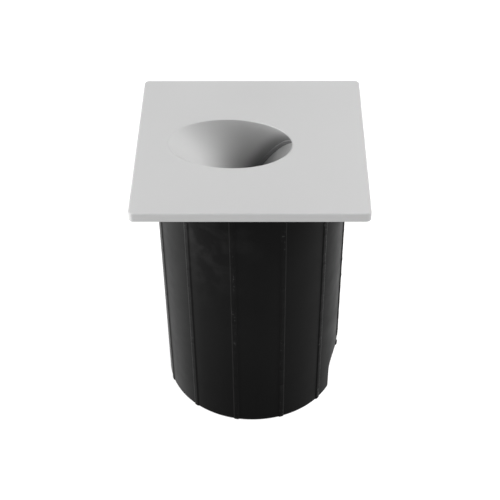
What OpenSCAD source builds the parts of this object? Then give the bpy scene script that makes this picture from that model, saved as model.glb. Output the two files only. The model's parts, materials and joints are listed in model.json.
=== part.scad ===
// Recessed marker light: a square face plate with an inclined light scoop, on
// a round ribbed sleeve that is set into the ground. The origin is the centre
// of the sleeve's foot, +Z is up, and the scoop slopes down towards +X.
// Sizes are in millimetres and angles in degrees.

/* [Face plate] */
// Side of the square face plate
plate_w = 80; // [76:1:100]
// Thickness of the face plate
plate_t = 3.5; // [3:0.1:5]
// Corner radius of the plate, seen from above
plate_corner_r = 1.6; // [0.5:0.1:4]
// Height of the round spigot under the plate
spigot_h = 6; // [5.5:0.5:8]
// Gap between the spigot and the sleeve's bore
spigot_gap = 0.3; // [0.3:0.05:0.6]

/* [Light scoop] */
// Radius of the inclined bore
scoop_r = 14.5; // [13.5:0.1:15]
// Angle between the bore's axis and the plate
scoop_tilt = 42; // [40:1:46]
// Turn of the scoop about the vertical, seen from above
scoop_turn = -4; // [-12:1:12]
// Where the bore's axis meets the top of the plate, along X
scoop_x = -7.4; // [-9:0.1:-6]
// Where the bore's axis meets the top of the plate, along Y
scoop_y = -0.3; // [-1:0.1:1]
// Wall of the boss around the bore
boss_wall = 4; // [3.8:0.1:4.5]
// Gap between the boss or the carrier and the housing's bore
inner_gap = 0.4; // [0.2:0.1:0.6]

/* [Lens] */
// Distance of the lens's face from the rim's centre, along the bore
lens_depth = 20; // [18:0.5:21]
// Thickness of the lens
lens_t = 3; // [2:0.5:4]
// Gap around the lens in its bore
lens_gap = 0.15; // [0.1:0.05:0.3]
// Height of the ring that holds the lens
ring_t = 1.6; // [1:0.1:2.5]
// Width of the ring that holds the lens
ring_w = 0.6; // [0.5:0.1:1.2]
// Gap around the ring, taken up by its thread
ring_gap = 0.05; // [0.02:0.01:0.1]
// Thickness of the seal behind the lens
lens_seal_t = 0.8; // [0.5:0.1:1.2]
// Width of the lip that the lens is seated on
lip_w = 1.5; // [1.2:0.1:2]
// Thickness of that lip
lip_t = 1.6; // [1.2:0.1:2]

/* [Light source] */
// How far the LED board's edge stays inside the bore
led_inset = 1.3; // [0.7:0.1:2]
// Thickness of the LED board
led_board_t = 1.6; // [1:0.1:2]
// Gap around the LED board in its pocket
led_board_gap = 0.4; // [0.2:0.1:0.6]
// Side of the LED package
led_w = 9; // [6:0.5:12]
// Height of the LED package with its dome
led_t = 1.2; // [1:0.1:1.5]
// Thickness of the heat pad behind the board
pad_t = 0.5; // [0.3:0.1:0.8]
// How far the heat pad stays inside the board's edge
pad_inset = 0.4; // [0.2:0.1:1]
// Thickness of the carrier that closes the boss
carrier_t = 4; // [3:0.5:4.5]
// Angle from one carrier screw to the next
carrier_screw_step = 70; // [60:5:75]
// Distance of the two board screws from the board's edge
led_screw_inset = 2.9; // [2.4:0.1:3.7]
// Distance of the leads' holes from the board's lower edge
lead_inset = 2.2; // [1.7:0.1:3.2]
// Distance of each lead's hole to one side
lead_y = 2.5; // [1.5:0.1:3.5]

/* [Rear housing] */
// Least wall between the LED board's pocket and the housing
pocket_wall = 0.75; // [0.7:0.05:1.5]
// Wall of the housing's tube
can_wall = 1.8; // [1.5:0.1:2]
// Thickness of the housing's floor
floor_t = 2.5; // [2:0.1:3.5]
// Thickness of the housing's flange
flange_t = 2.5; // [2:0.1:4]
// How far the flange stays inside the spigot's edge
flange_inset = 0.4; // [0.2:0.1:0.8]
// Number of screws in the flange
flange_screws = 6; // [6:3:12]
// Width of the housing seal
seal_w = 1.4; // [1:0.1:1.6]
// Height of the housing seal
seal_h = 1.1; // [0.8:0.1:1.5]
// Gap around the housing seal in its groove
seal_gap = 0.1; // [0.05:0.05:0.2]
// Wall between the housing's bore and the seal's groove
seal_land = 0.6; // [0.5:0.1:1]
// Width of the spigot outside the seal's groove, for the flange screws
spigot_land = 4.96; // [4.9:0.02:6]

/* [Driver] */
// Least gap between the driver's tallest part and the light source
driver_gap = 3; // [2:0.1:6]
// Height of the driver board over the housing's floor
pillar_h = 9; // [8.5:0.5:10]
// Radius of a pillar
pillar_r = 3; // [2.5:0.1:3.5]
// Gap between the driver board's edge and the housing
driver_edge_gap = 1.5; // [1:0.1:2]
// Thickness of the driver board
driver_t = 1.6; // [1:0.1:2]
// Distance of the board's screws from its edge
driver_screw_inset = 4; // [3.5:0.1:4.5]
// Length of the driver screws' thread in their pillars
driver_thread = 5; // [4:0.5:6]
// Radius of the hole that the supply cord comes up through
cord_hole_r = 4.5; // [3.5:0.1:4.8]
// Radius of an electrolytic capacitor
capacitor_r = 4; // [3:0.1:4.2]
// Height of an electrolytic capacitor
capacitor_h = 12; // [8:0.5:13]
// Width of the transformer's core
core_w = 13; // [12:0.5:13.5]
// Height of the transformer's core
core_h = 11; // [9:0.5:13]
// Thickness of the transformer's core
core_d = 6; // [5:0.5:8]
// Thickness of the core's legs and yokes
core_leg = 1.9; // [1.5:0.1:2.2]
// Thickness of the bobbin's base under the core
bobbin_base_h = 2; // [1.5:0.1:3]
// How far the winding stands out of the core at the front and back
winding_proud = 2.5; // [2:0.1:3]
// Thickness of the bobbin's cheeks
cheek_t = 1; // [0.6:0.1:1.5]
// Length of one pole of the terminal block
pole_w = 3.6; // [3.2:0.1:4]
// Number of poles in the terminal block
poles = 3; // [2:1:3]
// Radius of a lead over its insulation
lead_r = 0.6; // [0.4:0.05:0.7]
// Gap between a lead and its hole
lead_gap = 0.15; // [0.1:0.05:0.25]
// How far the leads bow out between the light source and the board
lead_bow = 1.3; // [0.5:0.1:2]

/* [Driver parts] */
// Place of the transformer on the board
transformer_at = [-12, 2]; // [-20:0.5:20]
// Place of the input capacitor
input_capacitor_at = [-9, 13.5]; // [-20:0.5:20]
// Place of the output capacitor
output_capacitor_at = [11, 12.5]; // [-20:0.5:20]
// Place of the choke
choke_at = [15, -2]; // [-20:0.5:20]
// Radius of the choke's flanges
choke_r = 3.5; // [2.5:0.1:3.8]
// Height of the choke
choke_h = 6; // [4:0.5:9]
// Place of the fuse
fuse_at = [1, 11]; // [-20:0.5:20]
// Length, width and height of the fuse
fuse_size = [7.5, 3.6, 7]; // [1:0.1:8]
// Place of the bridge rectifier
rectifier_at = [0, -7.9]; // [-20:0.1:20]
// Length, width and height of the bridge rectifier
rectifier_size = [6.5, 4.6, 2.6]; // [1:0.1:8]
// Place of the driver chip
chip_at = [9.5, -9]; // [-20:0.5:20]
// Length, width and height of the driver chip
chip_size = [5, 4, 1.6]; // [1:0.1:8]
// Place of the terminal block
terminals_at = [0, -14.6]; // [-20:0.1:20]
// Depth of the terminal block
terminal_d = 7; // [6:0.5:7.5]
// Height of the terminal block
terminal_h = 9; // [8:0.5:12]
// Radius of the terminal block's screws and wire ways
terminal_screw_r = 1.1; // [0.9:0.1:1.3]
// Place of the LED leads' holes, the second one mirrored in Y
led_pads_at = [8.5, 2.3]; // [-20:0.1:20]
// Place of the earth terminal on the housing's floor
earth_at = [14.7, 8.5]; // [-20:0.1:20]
// Radius of the earth terminal's boss
earth_boss_r = 3.5; // [2.8:0.1:3.8]
// Height of the earth terminal's boss
earth_boss_h = 3; // [2:0.5:4]

/* [Cable gland] */
// Radius of the cord that the gland takes
cord_r = 3.25; // [2.5:0.05:3.4]
// Radius of the gland's thread
gland_r = 5.9; // [5.8:0.1:7]
// Width of the gland's hexagons across their flats
gland_hex_w = 16; // [15.5:0.5:19]
// Height of the gland's hexagon
gland_hex_h = 5; // [4:0.5:6]
// Height of the gland's neck, where the cap nut screws on
neck_h = 9; // [8:0.5:11]
// Height of the locknut
locknut_h = 4; // [3:0.5:4.5]
// Thickness of the gland's washer
washer_t = 1; // [0.8:0.1:1.5]
// Height of the cap nut
cap_h = 13.5; // [12.5:0.5:16]
// Gap between the cap nut and the hexagon above it
cap_gap = 0.5; // [0.3:0.1:1]

/* [Grip springs] */
// Width of a spring leaf
spring_w = 8; // [6:0.5:9]
// Thickness of a spring leaf
spring_t = 0.4; // [0.3:0.05:0.6]
// Distance from the flange down to a leaf's screw
spring_drop = 6.5; // [5:0.5:9]
// Length of a leaf above its screw
spring_head = 4; // [3:0.5:4.5]
// Distance from a leaf's screw down to its crest
crest_drop = 26; // [22:1:28]
// Distance from the crest down to the leaf's tip
tip_drop = 14; // [10:1:16]
// How far the tip stands inside the crest
tip_inset = 1.6; // [1:0.1:2]
// Gap between a leaf's crest and the sleeve's bore
spring_gap = 0.25; // [0.2:0.05:0.4]
// Gap above and below a leaf at its screw, for its rocking
rock_gap = 0.2; // [0.2:0.05:0.3]
// How far the spring bosses stand off the housing
spring_boss_h = 1.1; // [0.9:0.1:1.3]
// Radius of the spring bosses
spring_boss_r = 2.2; // [2:0.1:2.4]

/* [Sleeve] */
// Height of the sleeve
sleeve_h = 102; // [98:1:130]
// How much smaller the sleeve's radius is at its foot than at its top
sleeve_draft = 1.7; // [0:0.1:2]
// Thickness of the sleeve's wall
sleeve_wall = 2.5; // [2:0.1:2.5]
// How far the collar stands out from the wall
collar_proud = 0.95; // [0.9:0.05:1.5]
// Height of the collar at the sleeve's top
collar_h = 4; // [3:0.5:8]
// Number of ribs round the sleeve
rib_count = 12; // [8:1:16]
// Width of a rib
rib_w = 2; // [1:0.1:4]
// How far a rib stands out from the wall
rib_h = 0.75; // [0.5:0.05:0.85]
// Turn of the ribs about the sleeve's axis
rib_turn = 18.5; // [0:0.5:29.5]
// Width of the ring at the sleeve's foot
foot_w = 8; // [4:0.5:12]
// Thickness of that ring
foot_t = 2; // [1.5:0.1:4]
// Width of the cable notch
notch_w = 32.6; // [20:0.1:40]
// Height of the cable notch
notch_h = 15; // [12:0.5:20]
// Radius of the notch's upper corners
notch_corner_r = 6.5; // [2:0.5:9]
// Turn of the cable notch from +X
notch_turn = 3.5; // [-10:0.5:10]
// Distance from the notch to the ribs that end above it
rib_stop = 3.5; // [2:0.5:8]

/* [Rim gasket] */
// Thickness of the gasket
gasket_t = 1.5; // [1.2:0.1:2.5]
// Depth of the gasket's seat in the plate
gasket_seat = 0.5; // [0.3:0.1:0.6]
// How far the gasket stands out from the collar
gasket_lip = 1.8; // [0.5:0.1:2.2]
// Gap around the gasket in its seat
gasket_gap = 0.2; // [0.1:0.1:0.4]
// Gap between the gasket and the spigot
gasket_bore_gap = 0.5; // [0.3:0.1:0.6]

/* [Screws] */
// Radius of the small screws' shanks, in the light source
small_shank_r = 1; // [0.8:0.05:1.1]
// Radius of the other screws' shanks
shank_r = 1.25; // [1:0.05:1.3]
// Head radius of a screw, as a multiple of its shank radius
head_ratio = 1.75; // [1.6:0.05:1.8]
// Head height of a screw, as a multiple of its shank radius
head_height_ratio = 1.25; // [1:0.05:1.3]
// Gap between a screw and the thread that it is cut into
thread_gap = 0.05; // [0.02:0.01:0.08]
// Gap between a screw and a hole that it only passes through
pass_gap = 0.25; // [0.15:0.05:0.3]

/* [Hidden] */
$fn = 96;
// Overshoot of a cut past the face that it opens
eps = 0.05;

// Heights of the plate, from the sleeve's foot upwards
plate_z0 = sleeve_h + gasket_t - gasket_seat;
plate_z1 = plate_z0 + plate_t;
spigot_z = plate_z0 - spigot_h;
collar_z = sleeve_h - collar_h;

// Distances along the bore, from the rim's centre
ring_s = lens_depth - ring_t;
lens_back_s = lens_depth + lens_t;
lip_s = lens_back_s + lens_seal_t;
pocket_s = lip_s + lip_t;
led_board_s = pocket_s + led_t;
boss_s = led_board_s + led_board_t;
carrier_s = boss_s + carrier_t;

// Radii and distances across the bore
boss_r = scoop_r + boss_wall;
lip_r = scoop_r - lip_w;
led_board_r = scoop_r - led_inset;
pocket_r = led_board_r + led_board_gap;
led_screw_x = led_board_r - led_screw_inset;
lead_x = led_board_r - lead_inset;
carrier_screw_r = (pocket_r + boss_r) / 2 + 0.15;

// A point of the scoop: x and y across the bore, s down it from the rim's centre
function scoop_point(x, y, s) =
    let (c = cos(90 + scoop_tilt), d = sin(90 + scoop_tilt), u = x * c + s * d)
    [
        scoop_x + u * cos(scoop_turn) - y * sin(scoop_turn),
        scoop_y + u * sin(scoop_turn) + y * cos(scoop_turn),
        plate_z1 - x * d + s * c
    ];

// Heights of the housing, with the driver's room under the light source
light_low_z = scoop_point(boss_r, 0, carrier_s)[2];
tallest_h = max(bobbin_base_h + core_h, capacitor_h, terminal_h, choke_h, fuse_size[2]);
stack_h = floor_t + pillar_h + driver_t + tallest_h;
can_h = ceil(2 * (spigot_z - light_low_z + driver_gap + stack_h)) / 2;
can_z = spigot_z - can_h;
floor_z = can_z + floor_t;
driver_z = floor_z + pillar_h;
parts_z = driver_z + driver_t;
gland_hex_z = can_z - washer_t - gland_hex_h;
neck_z = gland_hex_z - neck_h;
cap_z = gland_hex_z - cap_gap - cap_h;
gland_top_z = floor_z + locknut_h + 1;
spring_screw_z = spigot_z - flange_t - spring_drop;
crest_z = spring_screw_z - crest_drop;
tip_z = crest_z - tip_drop;

// Radii of the housing, from the light source outwards
function from_axis(p) = norm([p[0], p[1]]);
function pocket_edge(a) = scoop_point(pocket_r * cos(a), pocket_r * sin(a), boss_s);
pocket_reach = max([for (a = [0 : 5 : 355]) from_axis(pocket_edge(a))]);
can_in_r = ceil(10 * (pocket_reach + pocket_wall + inner_gap)) / 10;
can_r = can_in_r + can_wall;
inner_r = can_in_r - inner_gap;
groove_in_r = can_in_r + seal_land;
groove_out_r = groove_in_r + seal_w + 2 * seal_gap;
groove_h = seal_h + seal_gap;
spigot_r = groove_out_r + spigot_land;
flange_r = spigot_r - flange_inset;
flange_screw_r = (groove_out_r + flange_r) / 2;
driver_r = can_in_r - driver_edge_gap;
driver_screw_r = driver_r - driver_screw_inset;

// Radii of the sleeve, from the spigot outwards
spigot_draft = sleeve_draft * (sleeve_h - spigot_z) / sleeve_h;
sleeve_top_r = ceil(20 * (spigot_r + spigot_gap + sleeve_wall + spigot_draft)) / 20;
sleeve_foot_r = sleeve_top_r - sleeve_draft;
function sleeve_out_r(z) = sleeve_foot_r + sleeve_draft * z / sleeve_h;
function sleeve_in_r(z) = sleeve_out_r(z) - sleeve_wall;
collar_r = sleeve_top_r + collar_proud;
gasket_r = collar_r + gasket_lip;

// Screw lengths
flange_screw_len = flange_t + spigot_h - 1;
carrier_screw_len = carrier_t + (boss_s - lip_s) - 0.4;
led_screw_len = led_board_t + pad_t + 2.5;
driver_screw_len = driver_t + driver_thread;
spring_screw_len = spring_boss_h + can_wall - 0.7 + spring_t + 2 * rock_gap;

lead_hole_r = lead_r + lead_gap;

// Turns of the grip springs about the axis, midway between flange screws
spring_turns = [30, 150, 270];

plate_grey = [0.8, 0.8, 0.8];
alloy_grey = [0.62, 0.63, 0.65];
steel_grey = [0.7, 0.71, 0.72];
sleeve_black = [0.09, 0.09, 0.1];
rubber_black = [0.05, 0.05, 0.05];
board_green = [0.1, 0.35, 0.2];

// A round tube, standing on z = 0
module tube(outer_r, inner_r, h) {
    difference() {
        cylinder(r = outer_r, h = h);
        translate([0, 0, -eps]) cylinder(r = inner_r, h = h + 2 * eps);
    }
}

// A cross-headed screw: the head stands on z = 0 and the shank hangs below it
module pan_screw(r, len) {
    head_h = r * head_height_ratio;
    slot = r * 0.45;
    difference() {
        union() {
            cylinder(r = r * head_ratio, h = head_h);
            translate([0, 0, -len]) cylinder(r = r, h = len + eps);
        }
        for (turn = [0, 90])
            rotate([0, 0, turn])
                translate([-r, -slot / 2, head_h * 0.45])
                    cube([2 * r, slot, head_h]);
    }
}

// The frame of the scoop: its origin is the rim's centre, +Z runs down the bore
module in_scoop() {
    translate([scoop_x, scoop_y, plate_z1])
        rotate([0, 90 + scoop_tilt, scoop_turn])
            children();
}

module on_circle(r, count, first = 0) {
    for (i = [0 : count - 1])
        rotate([0, 0, first + i * 360 / count])
            translate([r, 0, 0])
                children();
}

module at_carrier_screws(s) {
    in_scoop()
        for (i = [-1 : 1])
            rotate([0, 0, i * carrier_screw_step])
                translate([carrier_screw_r, 0, s])
                    children();
}

module at_led_screws(s) {
    in_scoop()
        for (side = [-1, 1])
            translate([0, side * led_screw_x, s])
                children();
}

module lead_holes(s0, s1) {
    in_scoop()
        for (side = [-1, 1])
            translate([lead_x, side * lead_y, s0])
                cylinder(r = lead_hole_r, h = s1 - s0, $fn = 32);
}

// Face plate

module plate_blank() {
    reach = plate_w / 2 - plate_corner_r;
    translate([-plate_w / 2, -reach, plate_z0])
        cube([plate_w, 2 * reach, plate_t]);
    translate([-reach, -plate_w / 2, plate_z0])
        cube([2 * reach, plate_w, plate_t]);
    for (x = [-1, 1], y = [-1, 1])
        translate([x * reach, y * reach, plate_z0])
            cylinder(r = plate_corner_r, h = plate_t, $fn = 48);
}

module boss() {
    intersection() {
        in_scoop()
            translate([0, 0, -2 * scoop_r])
                cylinder(r = boss_r, h = boss_s + 2 * scoop_r);
        union() {
            translate([0, 0, floor_z])
                cylinder(r = inner_r, h = plate_z0 + eps - floor_z);
            translate([0, 0, spigot_z])
                cylinder(r = can_in_r + seal_land / 2, h = plate_z0 + eps - spigot_z);
        }
    }
}

module scoop_cuts() {
    in_scoop() {
        translate([0, 0, -2 * scoop_r])
            cylinder(r = scoop_r, h = lip_s + 2 * scoop_r, $fn = 128);
        cylinder(r = lip_r, h = boss_s);
        translate([0, 0, pocket_s])
            cylinder(r = pocket_r, h = led_t + led_board_t);
    }
}

module face_plate() {
    color(plate_grey)
        difference() {
            union() {
                plate_blank();
                translate([0, 0, spigot_z])
                    tube(spigot_r, can_in_r, spigot_h + plate_t / 2);
                boss();
            }
            translate([0, 0, plate_z0 - eps])
                tube(gasket_r + gasket_gap, spigot_r, gasket_seat + eps);
            scoop_cuts();
            at_carrier_screws(lip_s + 0.2)
                cylinder(r = small_shank_r + thread_gap, h = boss_s - lip_s + 5, $fn = 32);
            translate([0, 0, spigot_z - eps])
                tube(groove_out_r, groove_in_r, groove_h + eps);
            translate([0, 0, spigot_z - eps])
                on_circle(flange_screw_r, flange_screws)
                    cylinder(r = shank_r + thread_gap, h = spigot_h - 0.8 + eps, $fn = 32);
        }
}

// Lens and light source

module lens_ring() {
    color(plate_grey)
        in_scoop()
            translate([0, 0, ring_s])
                tube(scoop_r - ring_gap, scoop_r - ring_w, ring_t);
}

module lens() {
    color([0.75, 0.78, 0.8, 0.6])
        in_scoop()
            translate([0, 0, lens_depth])
                cylinder(r = scoop_r - lens_gap, h = lens_t);
}

module lens_seal() {
    color([0.75, 0.3, 0.2])
        in_scoop()
            translate([0, 0, lens_back_s])
                tube(scoop_r - lens_gap, lip_r, lens_seal_t);
}

module led_board() {
    color([0.9, 0.9, 0.88])
        difference() {
            in_scoop()
                translate([0, 0, led_board_s])
                    cylinder(r = led_board_r, h = led_board_t);
            at_led_screws(led_board_s - eps)
                cylinder(r = small_shank_r + pass_gap, h = led_board_t + 2 * eps, $fn = 32);
            lead_holes(led_board_s - eps, boss_s + eps);
        }
}

module led_emitter() {
    dome_t = led_t * 0.4;
    color([0.95, 0.8, 0.25])
        in_scoop() {
            translate([-led_w / 2, -led_w / 2, pocket_s + dome_t])
                cube([led_w, led_w, led_t - dome_t]);
            translate([0, 0, pocket_s])
                cylinder(r1 = led_w * 0.36, r2 = led_w * 0.42, h = dome_t + eps);
        }
}

module thermal_pad() {
    color([0.5, 0.6, 0.75])
        difference() {
            in_scoop()
                translate([0, 0, boss_s])
                    cylinder(r = led_board_r - pad_inset, h = pad_t);
            at_led_screws(boss_s - eps)
                cylinder(r = small_shank_r + pass_gap, h = pad_t + 2 * eps, $fn = 32);
            lead_holes(boss_s - eps, boss_s + pad_t + eps);
        }
}

module led_carrier() {
    color(alloy_grey)
        difference() {
            intersection() {
                in_scoop()
                    translate([0, 0, boss_s])
                        cylinder(r = boss_r - 0.2, h = carrier_t);
                translate([0, 0, can_z])
                    cylinder(r = inner_r, h = plate_z0 - can_z);
            }
            in_scoop()
                translate([0, 0, boss_s - eps])
                    cylinder(r = led_board_r, h = pad_t + eps);
            at_led_screws(boss_s)
                cylinder(r = small_shank_r + thread_gap, h = pad_t + 2.8, $fn = 32);
            at_carrier_screws(boss_s - eps)
                cylinder(r = small_shank_r + pass_gap, h = carrier_t + 2 * eps, $fn = 32);
            lead_holes(boss_s - eps, carrier_s + eps);
        }
}

module led_screws() {
    color(steel_grey)
        at_led_screws(led_board_s)
            rotate([180, 0, 0])
                pan_screw(small_shank_r, led_screw_len, $fn = 32);
}

module carrier_screws() {
    color(steel_grey)
        at_carrier_screws(carrier_s)
            pan_screw(small_shank_r, carrier_screw_len, $fn = 32);
}

// Leads from the LED board down to the driver board. The two ends are worked
// out from their holes, and the points between them are chosen by hand.

lead_sides = 8;

function unit(v) = v / norm(v);
function lead_tangent(path, i) =
    unit(path[min(i + 1, len(path) - 1)] - path[max(i - 1, 0)]);
function lead_ring(path, i) =
    let (
        t = lead_tangent(path, i),
        u = unit(cross(t, [0, 1, 0])),
        v = cross(t, u)
    )
    [for (k = [0 : lead_sides - 1])
        path[i] + lead_r * (cos(k * 360 / lead_sides) * u + sin(k * 360 / lead_sides) * v)];

module swept_lead(path) {
    rings = len(path);
    last = (rings - 1) * lead_sides;
    points = [for (i = [0 : rings - 1]) each lead_ring(path, i)];
    sides = [
        for (i = [0 : rings - 2], k = [0 : lead_sides - 1])
        let (a = i * lead_sides + k, b = i * lead_sides + (k + 1) % lead_sides)
        each [[a, a + lead_sides, b], [b, a + lead_sides, b + lead_sides]]
    ];
    ends = [
        for (k = [1 : lead_sides - 2])
        each [[0, k, k + 1], [last, last + k + 1, last + k]]
    ];
    polyhedron(points = points, faces = concat(sides, ends), convexity = 4);
}

// Where a lead leaves the carrier, its pad on the board, and its bends between them
function lead_exit(side) =
    scoop_point(lead_x, side * lead_y, carrier_s + 3 * lead_r) - [0, 0, lead_r];
function lead_pad(side) = [led_pads_at[0], side * led_pads_at[1], parts_z];
function lead_bend(side, part, bow) =
    lead_pad(side) + part * (lead_exit(side) - lead_pad(side)) + [bow * lead_bow, 0, 0];

function lead_path(side) = [
    scoop_point(lead_x, side * lead_y, led_board_s + 0.4),
    scoop_point(lead_x, side * lead_y, boss_s),
    scoop_point(lead_x, side * lead_y, carrier_s + 0.5),
    lead_exit(side),
    lead_bend(side, 0.8, 0.6),
    lead_bend(side, 0.6, 1),
    lead_bend(side, 0.32, 0.6),
    lead_pad(side) + [0, 0, 3.5 * lead_r],
    lead_pad(side) - [0, 0, driver_t - 0.3]
];

module led_lead_red() {
    color([0.75, 0.1, 0.1]) swept_lead(lead_path(1));
}

module led_lead_black() {
    color(rubber_black) swept_lead(lead_path(-1));
}

// Rear housing

module at_springs() {
    for (turn = spring_turns)
        rotate([0, 0, turn])
            children();
}

module rear_housing() {
    color(alloy_grey)
        difference() {
            union() {
                difference() {
                    union() {
                        translate([0, 0, can_z]) cylinder(r = can_r, h = can_h);
                        translate([0, 0, spigot_z - flange_t]) cylinder(r = flange_r, h = flange_t);
                    }
                    translate([0, 0, floor_z]) cylinder(r = can_in_r, h = can_h);
                }
                translate([0, 0, floor_z - eps])
                    on_circle(driver_screw_r, 3, 90)
                        cylinder(r = pillar_r, h = pillar_h + eps, $fn = 48);
                translate([earth_at[0], earth_at[1], floor_z - eps])
                    cylinder(r = earth_boss_r, h = earth_boss_h + eps, $fn = 48);
                at_springs()
                    translate([can_r - 1, 0, spring_screw_z])
                        rotate([0, 90, 0])
                            cylinder(r = spring_boss_r, h = 1 + spring_boss_h, $fn = 48);
            }
            translate([0, 0, can_z - eps])
                cylinder(r = gland_r + pass_gap, h = floor_t + 2 * eps);
            translate([0, 0, spigot_z - flange_t - eps])
                on_circle(flange_screw_r, flange_screws)
                    cylinder(r = shank_r + pass_gap, h = flange_t + 2 * eps, $fn = 32);
            translate([0, 0, driver_z - driver_thread - 1])
                on_circle(driver_screw_r, 3, 90)
                    cylinder(r = shank_r + thread_gap, h = driver_thread + 1 + eps, $fn = 32);
            translate([earth_at[0], earth_at[1], floor_z - 1])
                cylinder(r = shank_r + thread_gap, h = 1 + earth_boss_h + eps, $fn = 32);
            at_springs()
                translate([can_in_r + 0.5, 0, spring_screw_z])
                    rotate([0, 90, 0])
                        cylinder(r = shank_r + thread_gap, h = can_wall + 2, $fn = 32);
        }
}

module housing_seal() {
    color([0.75, 0.3, 0.2])
        translate([0, 0, spigot_z])
            tube(groove_out_r - seal_gap, groove_in_r + seal_gap, seal_h);
}

module housing_screws() {
    color(steel_grey)
        translate([0, 0, spigot_z - flange_t])
            on_circle(flange_screw_r, flange_screws)
                rotate([180, 0, 0])
                    pan_screw(shank_r, flange_screw_len, $fn = 32);
}

// Driver

module driver_board() {
    color(board_green)
        difference() {
            translate([0, 0, driver_z]) cylinder(r = driver_r, h = driver_t);
            translate([0, 0, driver_z - eps]) {
                cylinder(r = cord_hole_r, h = driver_t + 2 * eps);
                on_circle(driver_screw_r, 3, 90)
                    cylinder(r = shank_r + pass_gap, h = driver_t + 2 * eps, $fn = 32);
                for (side = [-1, 1])
                    translate([led_pads_at[0], side * led_pads_at[1], 0])
                        cylinder(r = lead_hole_r, h = driver_t + 2 * eps, $fn = 32);
            }
        }
}

module driver_screws() {
    color(steel_grey)
        translate([0, 0, parts_z])
            on_circle(driver_screw_r, 3, 90)
                pan_screw(shank_r, driver_screw_len, $fn = 32);
}

// A box of the given size, centred on a place of the board and standing on it
module on_board(place, size, lift = 0) {
    translate([place[0] - size[0] / 2, place[1] - size[1] / 2, parts_z + lift])
        cube(size);
}

module transformer_core() {
    window = [core_w - 2 * core_leg, core_d + 2 * eps, core_h - 2 * core_leg];
    color([0.2, 0.2, 0.22])
        difference() {
            on_board(transformer_at, [core_w, core_d, core_h], bobbin_base_h);
            on_board(transformer_at, window, bobbin_base_h + core_leg);
        }
}

module transformer_bobbin() {
    gap = 0.1;
    depth = core_d + 2 * winding_proud;
    size = [core_w - 2 * core_leg - 2 * gap, depth, core_h - 2 * core_leg - 2 * gap];
    base = [core_w, depth + cheek_t, bobbin_base_h];
    cheek = [core_w - cheek_t, cheek_t, core_h / 2 + bobbin_base_h];
    color([0.75, 0.6, 0.2]) {
        on_board(transformer_at, base);
        on_board(transformer_at, size, bobbin_base_h + core_leg + gap);
        for (side = [-1, 1])
            on_board(transformer_at + [0, side * (depth - cheek_t) / 2], cheek);
    }
}

module capacitor(place) {
    translate([place[0], place[1], parts_z])
        rotate_extrude($fn = 64)
            polygon([
                [0, 0], [capacitor_r, 0], [capacitor_r, 1.2], [capacitor_r - 0.4, 1.5],
                [capacitor_r, 1.8], [capacitor_r, capacitor_h - 0.5],
                [capacitor_r - 0.5, capacitor_h], [0, capacitor_h]
            ]);
}

module input_capacitor() {
    color([0.12, 0.12, 0.16]) capacitor(input_capacitor_at);
}

module output_capacitor() {
    color([0.12, 0.12, 0.16]) capacitor(output_capacitor_at);
}

module choke() {
    flange = choke_h / 5;
    waist_r = choke_r - 0.7;
    color([0.15, 0.15, 0.16])
        translate([choke_at[0], choke_at[1], parts_z])
            rotate_extrude($fn = 64)
                polygon([
                    [0, 0], [choke_r, 0], [choke_r, flange], [waist_r, flange],
                    [waist_r, choke_h - flange], [choke_r, choke_h - flange],
                    [choke_r, choke_h], [0, choke_h]
                ]);
}

module fuse() {
    color([0.45, 0.25, 0.12]) on_board(fuse_at, fuse_size);
}

module bridge_rectifier() {
    color([0.08, 0.08, 0.08]) on_board(rectifier_at, rectifier_size);
}

module driver_chip() {
    color([0.08, 0.08, 0.08]) on_board(chip_at, chip_size);
}

// The terminal block: wires enter from the side of the cord hole, screws from above

module at_poles() {
    for (i = [0 : poles - 1])
        translate([terminals_at[0] + (i - (poles - 1) / 2) * pole_w, terminals_at[1], 0])
            children();
}

module terminal_block() {
    color([0.15, 0.4, 0.6])
        difference() {
            on_board(terminals_at, [poles * pole_w, terminal_d, terminal_h]);
            at_poles() {
                translate([0, 0, parts_z + terminal_h - 5])
                    cylinder(r = terminal_screw_r + 0.1, h = 5 + eps, $fn = 32);
                translate([0, 0, parts_z + 2.6])
                    rotate([-90, 0, 0])
                        cylinder(r = terminal_screw_r, h = terminal_d, $fn = 32);
            }
        }
}

module terminal_screws() {
    color(steel_grey)
        at_poles()
            translate([0, 0, parts_z + terminal_h - 5])
                difference() {
                    cylinder(r = terminal_screw_r, h = 4, $fn = 32);
                    translate([-terminal_screw_r - eps, -0.2, 3.4])
                        cube([2 * (terminal_screw_r + eps), 0.4, 1]);
                }
}

module earth_screw() {
    color([0.75, 0.62, 0.3])
        translate([earth_at[0], earth_at[1], floor_z + earth_boss_h])
            pan_screw(shank_r, earth_boss_h + 0.6, $fn = 32);
}

// Cable gland

module hexagon(across, h) {
    cylinder(r = across / 2 / cos(30), h = h, $fn = 6);
}

insert_r = cord_r + 1.55;
neck_r = insert_r + 1.8;
insert_z = neck_z - 0.4;

module gland_body() {
    color([0.2, 0.2, 0.21])
        difference() {
            union() {
                translate([0, 0, gland_hex_z]) hexagon(gland_hex_w, gland_hex_h);
                translate([0, 0, neck_z]) cylinder(r = neck_r, h = neck_h + eps);
                translate([0, 0, gland_hex_z])
                    cylinder(r = gland_r, h = gland_top_z - gland_hex_z);
            }
            translate([0, 0, neck_z - eps]) cylinder(r = insert_r + 0.1, h = neck_h);
            translate([0, 0, neck_z])
                cylinder(r = cord_r + 0.35, h = gland_top_z - neck_z + eps);
        }
}

module gland_washer() {
    color([0.75, 0.3, 0.2])
        translate([0, 0, can_z - washer_t])
            tube(gland_hex_w / 2 - 0.2, gland_r + 0.1, washer_t);
}

module gland_locknut() {
    color([0.2, 0.2, 0.21])
        translate([0, 0, floor_z])
            difference() {
                hexagon(gland_hex_w, locknut_h);
                translate([0, 0, -eps])
                    cylinder(r = gland_r + thread_gap, h = locknut_h + 2 * eps);
            }
}

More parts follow.
